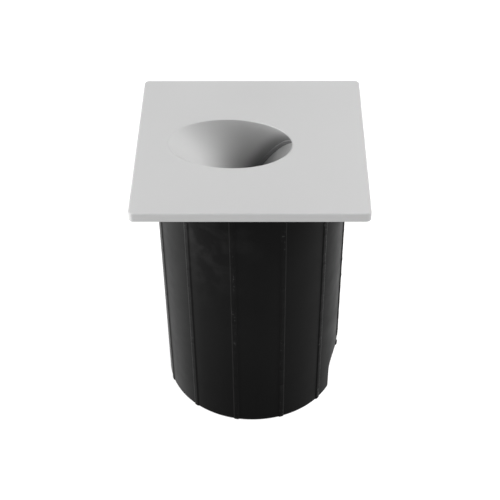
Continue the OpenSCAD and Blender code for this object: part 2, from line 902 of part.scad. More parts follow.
module gland_insert() {
    color(rubber_black)
        translate([0, 0, insert_z])
            tube(insert_r, cord_r, gland_hex_z - 0.4 - insert_z);
}

module gland_nut() {
    dome_h = 2;
    color([0.2, 0.2, 0.21])
        difference() {
            union() {
                translate([0, 0, cap_z + dome_h]) hexagon(gland_hex_w, cap_h - dome_h);
                translate([0, 0, cap_z])
                    cylinder(r1 = gland_hex_w / 2 - 1.5, r2 = gland_hex_w / 2, h = dome_h + eps);
            }
            translate([0, 0, insert_z])
                cylinder(r = neck_r + 0.1, h = cap_h);
            translate([0, 0, cap_z - eps])
                cylinder(r = cord_r + 0.8, h = cap_h);
        }
}

// Grip springs. A leaf's outline is worked out in a plane through the axis.

leaf_steps = 8;
leaf_r = can_r + spring_boss_h + rock_gap + spring_t / 2;
crest_r = sqrt(pow(sleeve_in_r(crest_z) - spring_gap, 2) - pow(spring_w / 2, 2)) - spring_t / 2;
leaf_bend_z = spring_screw_z - spring_head;
leaf_line = concat(
    [[leaf_r, spring_screw_z + spring_head]],
    [for (i = [0 : leaf_steps])
        [
            leaf_r + (crest_r - leaf_r) * (1 - cos(180 * i / leaf_steps)) / 2,
            leaf_bend_z + (crest_z - leaf_bend_z) * i / leaf_steps
        ]],
    [for (i = [1 : leaf_steps])
        [
            crest_r - tip_inset * (1 - cos(90 * i / leaf_steps)),
            crest_z + (tip_z - crest_z) * i / leaf_steps
        ]]
);

module leaf(turn) {
    count = len(leaf_line);
    outline = concat(
        [for (p = leaf_line) [p[0] + spring_t / 2, p[1]]],
        [for (i = [1 : count]) [leaf_line[count - i][0] - spring_t / 2, leaf_line[count - i][1]]]
    );
    color(steel_grey)
        rotate([0, 0, turn])
            difference() {
                translate([0, spring_w / 2, 0])
                    rotate([90, 0, 0])
                        linear_extrude(height = spring_w)
                            polygon(outline);
                translate([can_r, 0, spring_screw_z])
                    rotate([0, 90, 0])
                        cylinder(r = shank_r + pass_gap, h = 6, $fn = 32);
            }
}

module grip_spring_1() {
    leaf(spring_turns[0]);
}

module grip_spring_2() {
    leaf(spring_turns[1]);
}

module grip_spring_3() {
    leaf(spring_turns[2]);
}

module spring_screws() {
    color(steel_grey)
        at_springs()
            translate([leaf_r + spring_t / 2 + rock_gap, 0, spring_screw_z])
                rotate([0, 90, 0])
                    pan_screw(shank_r, spring_screw_len, $fn = 32);
}

// Rim gasket and sleeve

module rim_gasket() {
    color(rubber_black)
        translate([0, 0, sleeve_h])
            tube(gasket_r, spigot_r + gasket_bore_gap, gasket_t);
}

notch_half_angle = asin(notch_w / 2 / sleeve_foot_r);

// Height at which the rib with the given turn starts: at the foot, or above the notch
function rib_start(turn) =
    let (off = abs((turn - notch_turn + 540) % 360 - 180))
    off < notch_half_angle ? notch_h + rib_stop : 0;

module rib(z0, z1) {
    sweep = rib_w / sleeve_top_r * 180 / PI;
    root = 0.5;
    rotate([0, 0, -sweep / 2])
        rotate_extrude(angle = sweep)
            polygon([
                [sleeve_out_r(z0) - root, z0],
                [sleeve_out_r(z0) + rib_h, z0],
                [sleeve_out_r(z1) + rib_h, z1],
                [sleeve_out_r(z1) - root, z1]
            ]);
}

module sleeve_shell() {
    rotate_extrude($fn = 144)
        polygon([
            [sleeve_foot_r - foot_w, 0],
            [sleeve_foot_r, 0],
            [sleeve_out_r(collar_z), collar_z],
            [collar_r, collar_z],
            [collar_r, sleeve_h],
            [sleeve_in_r(sleeve_h), sleeve_h],
            [sleeve_in_r(foot_t), foot_t],
            [sleeve_foot_r - foot_w, foot_t]
        ]);
}

module notch_cut() {
    rotate([0, 0, notch_turn])
        translate([sleeve_foot_r / 3, 0, 0])
            rotate([90, 0, 90])
                linear_extrude(height = sleeve_top_r) {
                    translate([-notch_w / 2, -1])
                        square([notch_w, notch_h - notch_corner_r + 1]);
                    translate([-notch_w / 2 + notch_corner_r, -1])
                        square([notch_w - 2 * notch_corner_r, notch_h + 1]);
                    for (side = [-1, 1])
                        translate([side * (notch_w / 2 - notch_corner_r), notch_h - notch_corner_r])
                            circle(r = notch_corner_r, $fn = 64);
                }
}

module sleeve() {
    color(sleeve_black)
        difference() {
            union() {
                sleeve_shell();
                for (i = [0 : rib_count - 1])
                    let (turn = rib_turn + i * 360 / rib_count)
                    rotate([0, 0, turn])
                        rib(rib_start(turn), collar_z + eps);
            }
            notch_cut();
        }
}

face_plate();
lens_ring();
lens();
lens_seal();
led_board();
led_emitter();
thermal_pad();
led_carrier();
led_screws();
carrier_screws();
led_lead_red();
led_lead_black();
rear_housing();
housing_seal();
housing_screws();
driver_board();
driver_screws();
transformer_core();
transformer_bobbin();
input_capacitor();
output_capacitor();
choke();
fuse();
bridge_rectifier();
driver_chip();
terminal_block();
terminal_screws();
earth_screw();
gland_body();
gland_washer();
gland_locknut();
gland_insert();
gland_nut();
grip_spring_1();
grip_spring_2();
grip_spring_3();
spring_screws();
rim_gasket();
sleeve();
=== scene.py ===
"""Looks of the recessed marker light: a square painted face plate with a slanted
light scoop, on a round ribbed installation sleeve. Everything is in the part's own
frame: the origin is the centre of the sleeve's foot, +Z is up, and the scoop slopes
down towards +X. Shapes are worked out in millimetres and stored in metres."""

import json
import math

import bmesh
import bpy
import numpy as np
from mathutils import Matrix, Vector


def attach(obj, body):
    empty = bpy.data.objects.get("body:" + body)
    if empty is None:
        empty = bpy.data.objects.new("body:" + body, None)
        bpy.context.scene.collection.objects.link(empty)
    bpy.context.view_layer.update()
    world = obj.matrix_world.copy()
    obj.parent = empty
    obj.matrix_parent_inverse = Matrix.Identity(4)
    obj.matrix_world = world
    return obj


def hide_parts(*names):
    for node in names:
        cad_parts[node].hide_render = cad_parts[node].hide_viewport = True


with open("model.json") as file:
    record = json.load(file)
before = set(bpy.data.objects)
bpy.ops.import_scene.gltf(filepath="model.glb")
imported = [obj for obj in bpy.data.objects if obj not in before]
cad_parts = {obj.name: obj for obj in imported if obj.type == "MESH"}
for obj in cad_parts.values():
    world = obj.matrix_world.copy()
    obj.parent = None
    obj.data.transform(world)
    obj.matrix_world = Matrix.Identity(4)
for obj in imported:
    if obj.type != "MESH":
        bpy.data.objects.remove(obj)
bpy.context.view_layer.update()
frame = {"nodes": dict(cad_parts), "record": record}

MM = 0.001
TAU = 2 * math.pi

# Sizes that the part's source gives, in millimetres and degrees
PLATE_HALF = 40.0
PLATE_Z0, PLATE_Z1 = 103.0, 106.5
SPIGOT_Z, SPIGOT_R = 97.0, 31.16
SCOOP_R, SCOOP_TILT, SCOOP_TURN = 14.5, 42.0, -4.0
SCOOP_AT = (-7.4, -0.3, PLATE_Z1)
BOSS_R, BOSS_S = 18.5, 28.2
LIP_R, LIP_S0, LIP_S1 = 13.0, 23.8, 25.4
POCKET_R = 13.6
LENS_R, LENS_S0, LENS_S1 = 14.35, 20.0, 23.0
CAN_R, CAN_IN_R, INNER_R = 25.8, 24.0, 23.6
CAN_Z, FLOOR_Z = 42.0, 44.5
GASKET_R, GASKET_IN_R, GASKET_Z0, GASKET_Z1 = 36.8, 31.66, 102.0, 103.5
GASKET_SEAT_R = 37.0
SLEEVE_H, SLEEVE_TOP_R, SLEEVE_DRAFT, SLEEVE_WALL = 102.0, 34.2, 1.2, 2.65
COLLAR_R, COLLAR_Z = 35.0, 100.3
FOOT_R, FOOT_IN_R, FOOT_T = 33.0, 24.35, 2.0
RIB_H, RIB_W = 0.38, 2.5
NOTCH_HALF, NOTCH_H, NOTCH_ARC, NOTCH_TURN = 16.9, 15.0, 6.5, 4.6


# ---------------------------------------------------------------- surfaces

def smoothstep(x):
    """0 below 0, 1 above 1, and 3x^2 - 2x^3 between them."""
    x = np.clip(x, 0.0, 1.0)
    return x * x * (3 - 2 * x)


def rounded(corners, radii, steps=5, near=0.08):
    """A closed outline with its corners rounded. Each corner of turn a is cut back by
    r tan(a/2) on both sides and bridged by the rational quadratic arc with middle
    weight cos(a/2). One more point just outside each end of the arc keeps flats flat."""
    p = np.asarray(corners, float)
    r = np.broadcast_to(np.asarray(radii, float), len(p))[:, None]
    before, after = p - np.roll(p, 1, 0), np.roll(p, -1, 0) - p
    before /= np.linalg.norm(before, axis=1, keepdims=True)
    after /= np.linalg.norm(after, axis=1, keepdims=True)
    half = np.arccos(np.clip((before * after).sum(1), -1, 1))[:, None] / 2
    cut = r * np.tan(half)
    a, b, w = p - before * cut, p + after * cut, np.cos(half)[:, None, :]
    u = np.linspace(0, 1, steps + 1)[None, :, None]
    arc = (1 - u) ** 2 * a[:, None] + 2 * w * u * (1 - u) * p[:, None] + u * u * b[:, None]
    arc /= (1 - u) ** 2 + 2 * w * u * (1 - u) + u * u
    guard = near * (r > 0)
    rows = [(a - before * guard)[:, None], arc, (b + after * guard)[:, None]]
    return np.concatenate(rows, 1).reshape(-1, p.shape[1])


def turned(profile, count):
    """A profile of (r, z) points turned about the Z axis: (r cos t, r sin t, z)."""
    profile = np.asarray(profile, float)
    t = TAU * np.arange(count) / count
    r, z = profile[:, :1], profile[:, 1:]
    return np.stack([r * np.cos(t), r * np.sin(t), z + 0 * t], -1)


def scoop_axes():
    """The scoop's frame: x points to its lower side, y across, and s down the bore."""
    c, s = math.cos(math.radians(90 + SCOOP_TILT)), math.sin(math.radians(90 + SCOOP_TILT))
    ct, st = math.cos(math.radians(SCOOP_TURN)), math.sin(math.radians(SCOOP_TURN))
    return np.array([[c * ct, c * st, -s], [-st, ct, 0.0], [s * ct, s * st, c]])


SCOOP_AXES = scoop_axes()


def in_scoop(points):
    """Points given as (x, y, s) in the scoop's frame, placed in the part's frame."""
    return np.asarray(points, float) @ SCOOP_AXES + np.array(SCOOP_AT)


def new_piece(name, grids, body, stands_for, slot, sharp=38.0, closed=True):
    """Makes a mesh of one closed shell for each grid of points (rows by columns by 3) in
    a list of like grids. Columns always close; rows close too, unless the first and the
    last row are poles. Coinciding points are merged, so collapsed cells vanish, and
    faces are turned outwards. The slot names the finish."""
    grids = np.stack(grids)
    shells, rows, cols = grids.shape[:3]
    k, i, j = np.meshgrid(np.arange(shells), np.arange(rows if closed else rows - 1),
                          np.arange(cols), indexing="ij")
    first, i1, j1 = k * rows * cols, (i + 1) % rows, (j + 1) % cols
    quads = np.stack([i * cols + j, i * cols + j1, i1 * cols + j1, i1 * cols + j], -1)
    quads += first[..., None]
    mesh = bpy.data.meshes.new(name)
    points = grids.reshape(-1, 3) * MM
    mesh.from_pydata(points.tolist(), [], quads.reshape(-1, 4).tolist())
    bm = bmesh.new()
    bm.from_mesh(mesh)
    bmesh.ops.remove_doubles(bm, verts=bm.verts, dist=2e-6)
    if bm.calc_volume(signed=True) < 0:
        bmesh.ops.reverse_faces(bm, faces=bm.faces)
    bm.to_mesh(mesh)
    bm.free()
    mesh.shade_smooth()
    mesh.set_sharp_from_angle(angle=math.radians(sharp))
    piece = bpy.data.objects.new(name, mesh)
    bpy.context.scene.collection.objects.link(piece)
    mesh.materials.append(FINISHES[slot])
    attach(piece, body)
    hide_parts(*stands_for)
    return piece


# ---------------------------------------------------------------- materials

def node_group(name, output, inputs):
    """An empty shader group that gives one number, and its two end nodes. Each input is
    a name, a kind of socket and a first value."""
    group = bpy.data.node_groups.new(name, "ShaderNodeTree")
    for label, kind, value in inputs:
        socket = group.interface.new_socket(name=label, in_out="INPUT",
                                            socket_type="NodeSocket" + kind)
        if value is not None:
            socket.default_value = value
    group.interface.new_socket(name=output, in_out="OUTPUT", socket_type="NodeSocketFloat")
    return group, group.nodes.new("NodeGroupInput"), group.nodes.new("NodeGroupOutput")


def noise_node(group, detail=2.0, distortion=0.0):
    node = group.nodes.new("ShaderNodeTexNoise")
    node.inputs["Detail"].default_value = detail
    node.inputs["Distortion"].default_value = distortion
    return node


def math_node(group, operation, second=None):
    """One operation on two numbers, the second of which may be fixed."""
    node = group.nodes.new("ShaderNodeMath")
    node.operation = operation
    if second is not None:
        node.inputs[1].default_value = second
    return node


def vector_node(group, operation):
    node = group.nodes.new("ShaderNodeVectorMath")
    node.operation = operation
    return node


def step_node(group, begins=0.0, ends=1.0, smooth=False):
    """A step from 0 to 1 between two values, straight or as a smooth curve."""
    node = group.nodes.new("ShaderNodeMapRange")
    node.interpolation_type = "SMOOTHSTEP" if smooth else "LINEAR"
    node.inputs["From Min"].default_value = begins
    node.inputs["From Max"].default_value = ends
    return node


def mottle_group():
    """Cloudy variation: two octave noises, of one scale and about a quarter of it, added
    and stretched so that the mask runs evenly from 0 to 1."""
    group, start, end = node_group("mottle", "Mask", [
        ("Vector", "Vector", None), ("Scale", "Float", 40.0), ("Detail", "Float", 4.0)])
    link = group.links.new
    coarse, fine = noise_node(group), noise_node(group)
    quarter, both = math_node(group, "MULTIPLY", 0.27), math_node(group, "ADD")
    spread = step_node(group, 0.7, 1.3)
    link(start.outputs["Scale"], fine.inputs["Scale"])
    link(start.outputs["Scale"], quarter.inputs[0])
    link(quarter.outputs[0], coarse.inputs["Scale"])
    for number, noise in enumerate((coarse, fine)):
        link(start.outputs["Vector"], noise.inputs["Vector"])
        link(start.outputs["Detail"], noise.inputs["Detail"])
        link(noise.outputs["Fac"], both.inputs[number])
    link(both.outputs[0], spread.inputs["Value"])
    link(spread.outputs["Result"], end.inputs["Mask"])
    return group


def grain_group():
    """Fine relief of a moulded or sprayed skin: soft cells over a finer noise."""
    group, start, end = node_group("grain", "Height", [
        ("Vector", "Vector", None), ("Scale", "Float", 900.0)])
    link = group.links.new
    cells, noise = group.nodes.new("ShaderNodeTexVoronoi"), noise_node(group, detail=3.0)
    total = math_node(group, "ADD")
    cells.feature = "SMOOTH_F1"
    for texture in (cells, noise):
        link(start.outputs["Vector"], texture.inputs["Vector"])
        link(start.outputs["Scale"], texture.inputs["Scale"])
    link(cells.outputs["Distance"], total.inputs[0])
    link(noise.outputs["Fac"], total.inputs[1])
    link(total.outputs[0], end.inputs["Height"])
    return group


def fade_group():
    """A soft step along an axis through a centre, within a radius of it. With the place
    d from the centre: s = d . axis runs from From (0) to To (1), and |d x axis| from
    1.04 Radius (0) to Radius (1); the mask is the product."""
    group, start, end = node_group("fade", "Mask", [
        ("Vector", "Vector", None), ("Centre", "Vector", (0, 0, 0)),
        ("Axis", "Vector", (0, 0, 1)), ("From", "Float", 0.0), ("To", "Float", 0.1),
        ("Radius", "Float", 1.0)])
    link = group.links.new
    offset, along = vector_node(group, "SUBTRACT"), vector_node(group, "DOT_PRODUCT")
    across, length = vector_node(group, "CROSS_PRODUCT"), vector_node(group, "LENGTH")
    far, both = math_node(group, "MULTIPLY", 1.04), math_node(group, "MULTIPLY")
    reached, within = step_node(group, smooth=True), step_node(group, smooth=True)
    link(start.outputs["Vector"], offset.inputs[0])
    link(start.outputs["Centre"], offset.inputs[1])
    for product in (along, across):
        link(offset.outputs["Vector"], product.inputs[0])
        link(start.outputs["Axis"], product.inputs[1])
    link(along.outputs["Value"], reached.inputs["Value"])
    link(start.outputs["From"], reached.inputs["From Min"])
    link(start.outputs["To"], reached.inputs["From Max"])
    link(across.outputs["Vector"], length.inputs[0])
    link(length.outputs["Value"], within.inputs["Value"])
    link(start.outputs["Radius"], far.inputs[0])
    link(far.outputs[0], within.inputs["From Min"])
    link(start.outputs["Radius"], within.inputs["From Max"])
    link(reached.outputs["Result"], both.inputs[0])
    link(within.outputs["Result"], both.inputs[1])
    link(both.outputs[0], end.inputs["Mask"])
    return group


def dust_and_painted_light_group():
    """Pale dust in wisps that also paints in light: a noise that shows above Cover and is full
    0.2 higher, times a nearness that sinks from 1 at a centre to nothing at Reach."""
    group, start, end = node_group("dust", "Mask", [
        ("Vector", "Vector", None), ("Centre", "Vector", (0, 0, 0)), ("Reach", "Float", 0.03),
        ("Scale", "Float", 100.0), ("Cover", "Float", 0.5)])
    link = group.links.new
    offset, length = vector_node(group, "SUBTRACT"), vector_node(group, "LENGTH")
    near, wisps = step_node(group, ends=0.0, smooth=True), step_node(group)
    noise = noise_node(group, detail=5.0, distortion=0.25)
    full, both = math_node(group, "ADD", 0.2), math_node(group, "MULTIPLY")
    link(start.outputs["Vector"], offset.inputs[0])
    link(start.outputs["Centre"], offset.inputs[1])
    link(offset.outputs["Vector"], length.inputs[0])
    link(length.outputs["Value"], near.inputs["Value"])
    link(start.outputs["Reach"], near.inputs["From Min"])
    link(start.outputs["Vector"], noise.inputs["Vector"])
    link(start.outputs["Scale"], noise.inputs["Scale"])
    link(noise.outputs["Fac"], wisps.inputs["Value"])
    link(start.outputs["Cover"], wisps.inputs["From Min"])
    link(start.outputs["Cover"], full.inputs[0])
    link(full.outputs[0], wisps.inputs["From Max"])
    link(near.outputs["Result"], both.inputs[0])
    link(wisps.outputs["Result"], both.inputs[1])
    link(both.outputs[0], end.inputs["Mask"])
    return group


RIB_SPACING = 30


def specks_group():
    """Specks along upright ribs. The angle a = atan2(y, x) + Turn is folded to between 0
    and half the ribs' spacing, and that half is a rib's middle. A fine noise gives the
    specks and a ten times coarser one gathers them; the mask is the product of the
    three."""
    group, start, end = node_group("rib_specks", "Mask", [
        ("Vector", "Vector", None), ("Turn", "Float", 0.0), ("Scale", "Float", 700.0)])
    link = group.links.new
    parts, angle = group.nodes.new("ShaderNodeSeparateXYZ"), math_node(group, "ARCTAN2")
    moved = math_node(group, "ADD")
    folded = math_node(group, "PINGPONG", math.radians(RIB_SPACING / 2))
    on_rib = step_node(group, math.radians(13.3), math.radians(14.2))
    fine, coarse, tenth = noise_node(group), noise_node(group), math_node(group, "MULTIPLY", 0.1)
    specks, gathered = step_node(group, 0.6, 0.7), step_node(group, 0.5, 0.62)
    some, all_three = math_node(group, "MULTIPLY"), math_node(group, "MULTIPLY")
    link(start.outputs["Vector"], parts.inputs["Vector"])
    link(parts.outputs["Y"], angle.inputs[0])
    link(parts.outputs["X"], angle.inputs[1])
    link(angle.outputs[0], moved.inputs[0])
    link(start.outputs["Turn"], moved.inputs[1])
    link(moved.outputs[0], folded.inputs[0])
    link(folded.outputs[0], on_rib.inputs["Value"])
    link(start.outputs["Scale"], fine.inputs["Scale"])
    link(start.outputs["Scale"], tenth.inputs[0])
    link(tenth.outputs[0], coarse.inputs["Scale"])
    for number, (noise, cut) in enumerate(((fine, specks), (coarse, gathered))):
        link(start.outputs["Vector"], noise.inputs["Vector"])
        link(noise.outputs["Fac"], cut.inputs["Value"])
        link(cut.outputs["Result"], some.inputs[number])
    link(some.outputs[0], all_three.inputs[0])
    link(on_rib.outputs["Result"], all_three.inputs[1])
    link(all_three.outputs[0], end.inputs["Mask"])
    return group


MOTTLE = mottle_group()
GRAIN = grain_group()
FADE = fade_group()
DUST_AND_PAINTED_LIGHT = dust_and_painted_light_group()
SPECKS = specks_group()


def fade_layer(centre, axis, begins, ends, radius, colour):
    """A colour reached along an axis through a centre; distances are in millimetres."""
    return FADE, {"Centre": [c * MM for c in centre], "Axis": axis, "From": begins * MM,
                  "To": ends * MM, "Radius": radius * MM}, colour


def dust_and_painted_light_layer(centre, reach, scale, cover, colour):
    """Dust that also paints in light, round a centre, out to a reach, both in millimetres."""
    return DUST_AND_PAINTED_LIGHT, {"Centre": [c * MM for c in centre], "Reach": reach * MM, "Scale": scale,
                  "Cover": cover}, colour


def speck_layer(turn, scale, colour):
    """Specks on the ribs of a sleeve that is turned by so many degrees."""
    return SPECKS, {"Turn": -math.radians(turn), "Scale": scale}, colour


FINISHES = {}


def finish(name, colour, second, roughness, swing, metallic=0.0, specular=0.5, clouds=35.0,
           grain=1400.0, depth=0.004, stretch=(1, 1, 1), layers=(), **sockets):
    """A finish with two close tones in cloudy patches, a roughness that swings with
    finer patches, and a fine relief `depth` millimetres deep. Each layer is a group that
    gives a mask, its inputs, and the colour that the mask lays over what is below. The
    material is kept in FINISHES under its name."""
    material = bpy.data.materials.new(name)
    material.use_nodes = True
    nodes, link = material.node_tree.nodes, material.node_tree.links.new
    shader = nodes["Principled BSDF"]
    place, where = nodes.new("ShaderNodeTexCoord"), nodes.new("ShaderNodeMapping")
    where.inputs["Scale"].default_value = stretch
    link(place.outputs["Object"], where.inputs["Vector"])

    tone, patches = nodes.new("ShaderNodeGroup"), nodes.new("ShaderNodeMix")
    tone.node_tree = MOTTLE
    tone.inputs["Scale"].default_value = clouds
    patches.data_type = "RGBA"
    patches.inputs["A"].default_value = (*colour, 1)
    patches.inputs["B"].default_value = (*second, 1)
    link(where.outputs["Vector"], tone.inputs["Vector"])
    link(tone.outputs["Mask"], patches.inputs["Factor"])
    below = patches
    for tree, values, laid in layers:
        mask, blend = nodes.new("ShaderNodeGroup"), nodes.new("ShaderNodeMix")
        mask.node_tree = tree
        for label, value in values.items():
            mask.inputs[label].default_value = value
        blend.data_type = "RGBA"
        blend.inputs["B"].default_value = (*laid, 1)
        link(place.outputs["Object"], mask.inputs["Vector"])
        link(mask.outputs["Mask"], blend.inputs["Factor"])
        link(below.outputs["Result"], blend.inputs["A"])
        below = blend
    link(below.outputs["Result"], shader.inputs["Base Color"])

    wear, sheen = nodes.new("ShaderNodeGroup"), nodes.new("ShaderNodeMapRange")
    wear.node_tree = MOTTLE
    wear.inputs["Scale"].default_value = clouds * 4
    sheen.inputs["To Min"].default_value = roughness - swing
    sheen.inputs["To Max"].default_value = roughness + swing
    link(where.outputs["Vector"], wear.inputs["Vector"])
    link(wear.outputs["Mask"], sheen.inputs["Value"])
    link(sheen.outputs["Result"], shader.inputs["Roughness"])

    relief, bump = nodes.new("ShaderNodeGroup"), nodes.new("ShaderNodeBump")
    relief.node_tree = GRAIN
    relief.inputs["Scale"].default_value = grain
    bump.inputs["Distance"].default_value = depth * MM
    link(where.outputs["Vector"], relief.inputs["Vector"])
    link(relief.outputs["Height"], bump.inputs["Height"])
    link(bump.outputs["Normal"], shader.inputs["Normal"])

    shader.inputs["Metallic"].default_value = metallic
    shader.inputs["Specular IOR Level"].default_value = specular
    for socket, value in sockets.items():
        shader.inputs[socket.replace("_", " ")].default_value = value
    FINISHES[name] = material
    return material


def grey(v):
    return (v, v, v)


EVERYWHERE = 20000  # a radius, in millimetres, that holds the whole studio

# Painted shade: the scoop's paint darkens deep in the bore, towards the lens. Painted shade
# darkens the sleeve's plastic towards its foot, a painted sheen lightens its left side, pale
# dust in wisps at its upper left also paints in light there, and specks run along its ribs.
# Painted shade: the plate's paint turns darker down the scoop's bore, towards the lens.
DEEP_SCOOP_PAINTED_SHADE = fade_layer(SCOOP_AT, SCOOP_AXES[2], 12.5, 18.5, SCOOP_R + 0.03, grey(0.15))
# Painted shade: the sleeve darker towards its foot.
SLEEVE_PAINTED_LIGHT_DUST_AND_SPECKS = [fade_layer((0, 0, 0), (0, 0, -1), -64.0, 2.0, EVERYWHERE, grey(0.0002)),
                # Painted sheen: the sleeve's left side lighter, as grazing light from the left
                # makes it.
                fade_layer((0, 0, 0), (-0.966, -0.259, 0), 24.0, 34.0, EVERYWHERE, grey(0.012)),
                # Pale dust in wisps that also paints in light on the sleeve's upper left.
                dust_and_painted_light_layer((-22, -25, 86), 36, 130, 0.47, grey(0.0095)),
                speck_layer(NOTCH_TURN, 950, grey(0.05))]

finish("plate_paint", grey(0.314), grey(0.329), 0.58, 0.05, specular=0.28, clouds=18,
       grain=1500, depth=0.003, layers=[DEEP_SCOOP_PAINTED_SHADE])
finish("sleeve_plastic", grey(0.0022), grey(0.0038), 0.41, 0.06, specular=0.032,
       clouds=45, grain=1100, depth=0.001, layers=SLEEVE_PAINTED_LIGHT_DUST_AND_SPECKS, Sheen_Weight=0.05,
       Sheen_Roughness=0.35)
finish("seal_rubber", grey(0.012), grey(0.018), 0.75, 0.08, specular=0.2)
finish("frosted_glass", grey(0.25), grey(0.38), 0.5, 0.06, clouds=200, grain=1800,
       depth=0.004, Transmission_Weight=0.35)
finish("silicone", (0.36, 0.07, 0.04), (0.42, 0.1, 0.06), 0.6, 0.05)
finish("board_white", grey(0.78), grey(0.82), 0.35, 0.05)
finish("phosphor", (0.9, 0.62, 0.1), (0.95, 0.7, 0.16), 0.5, 0.05)
finish("heat_pad", (0.28, 0.34, 0.45), (0.33, 0.38, 0.5), 0.8, 0.05)
finish("alloy", grey(0.2), grey(0.25), 0.52, 0.06, metallic=1.0, grain=800, depth=0.03)
finish("stainless", grey(0.38), grey(0.44), 0.26, 0.07, metallic=1.0, grain=2500)
finish("spring_steel", grey(0.34), grey(0.42), 0.3, 0.08, metallic=1.0, grain=1200,
       depth=0.0015, stretch=(1, 1, 0.08))
finish("lead_red", (0.45, 0.02, 0.02), (0.5, 0.03, 0.03), 0.4, 0.05)
finish("lead_black", grey(0.015), grey(0.02), 0.4, 0.05)
finish("board_green", (0.02, 0.16, 0.06), (0.03, 0.2, 0.08), 0.35, 0.06)
finish("ferrite", (0.05, 0.05, 0.055), (0.07, 0.07, 0.075), 0.65, 0.08)
finish("winding_tape", (0.66, 0.45, 0.06), (0.74, 0.52, 0.1), 0.4, 0.06)
finish("capacitor_sleeve", (0.02, 0.02, 0.05), (0.03, 0.03, 0.06), 0.3, 0.05)
finish("fuse_brown", (0.16, 0.07, 0.03), (0.2, 0.09, 0.04), 0.35, 0.05)
finish("chip_black", grey(0.015), grey(0.022), 0.55, 0.06)
finish("terminal_blue", (0.03, 0.14, 0.3), (0.04, 0.17, 0.35), 0.45, 0.05)
finish("brass", (0.66, 0.45, 0.16), (0.72, 0.5, 0.2), 0.3, 0.07, metallic=1.0)
finish("gland_nylon", grey(0.012), grey(0.018), 0.45, 0.06, specular=0.35)


def dress_cad_nodes():
    """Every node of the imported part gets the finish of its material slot."""
    for part in frame["record"]["subparts"]:
        mesh = frame["nodes"][part["node"]].data
        mesh.materials.clear()
        mesh.materials.append(FINISHES[part["material_slot"]])


# ---------------------------------------------------------------- face plate

PLATE_COLUMNS = 288
RIM_WORN = math.radians(140)
PLATE_CORNER = 1.8
CORNER_STEPS = 6


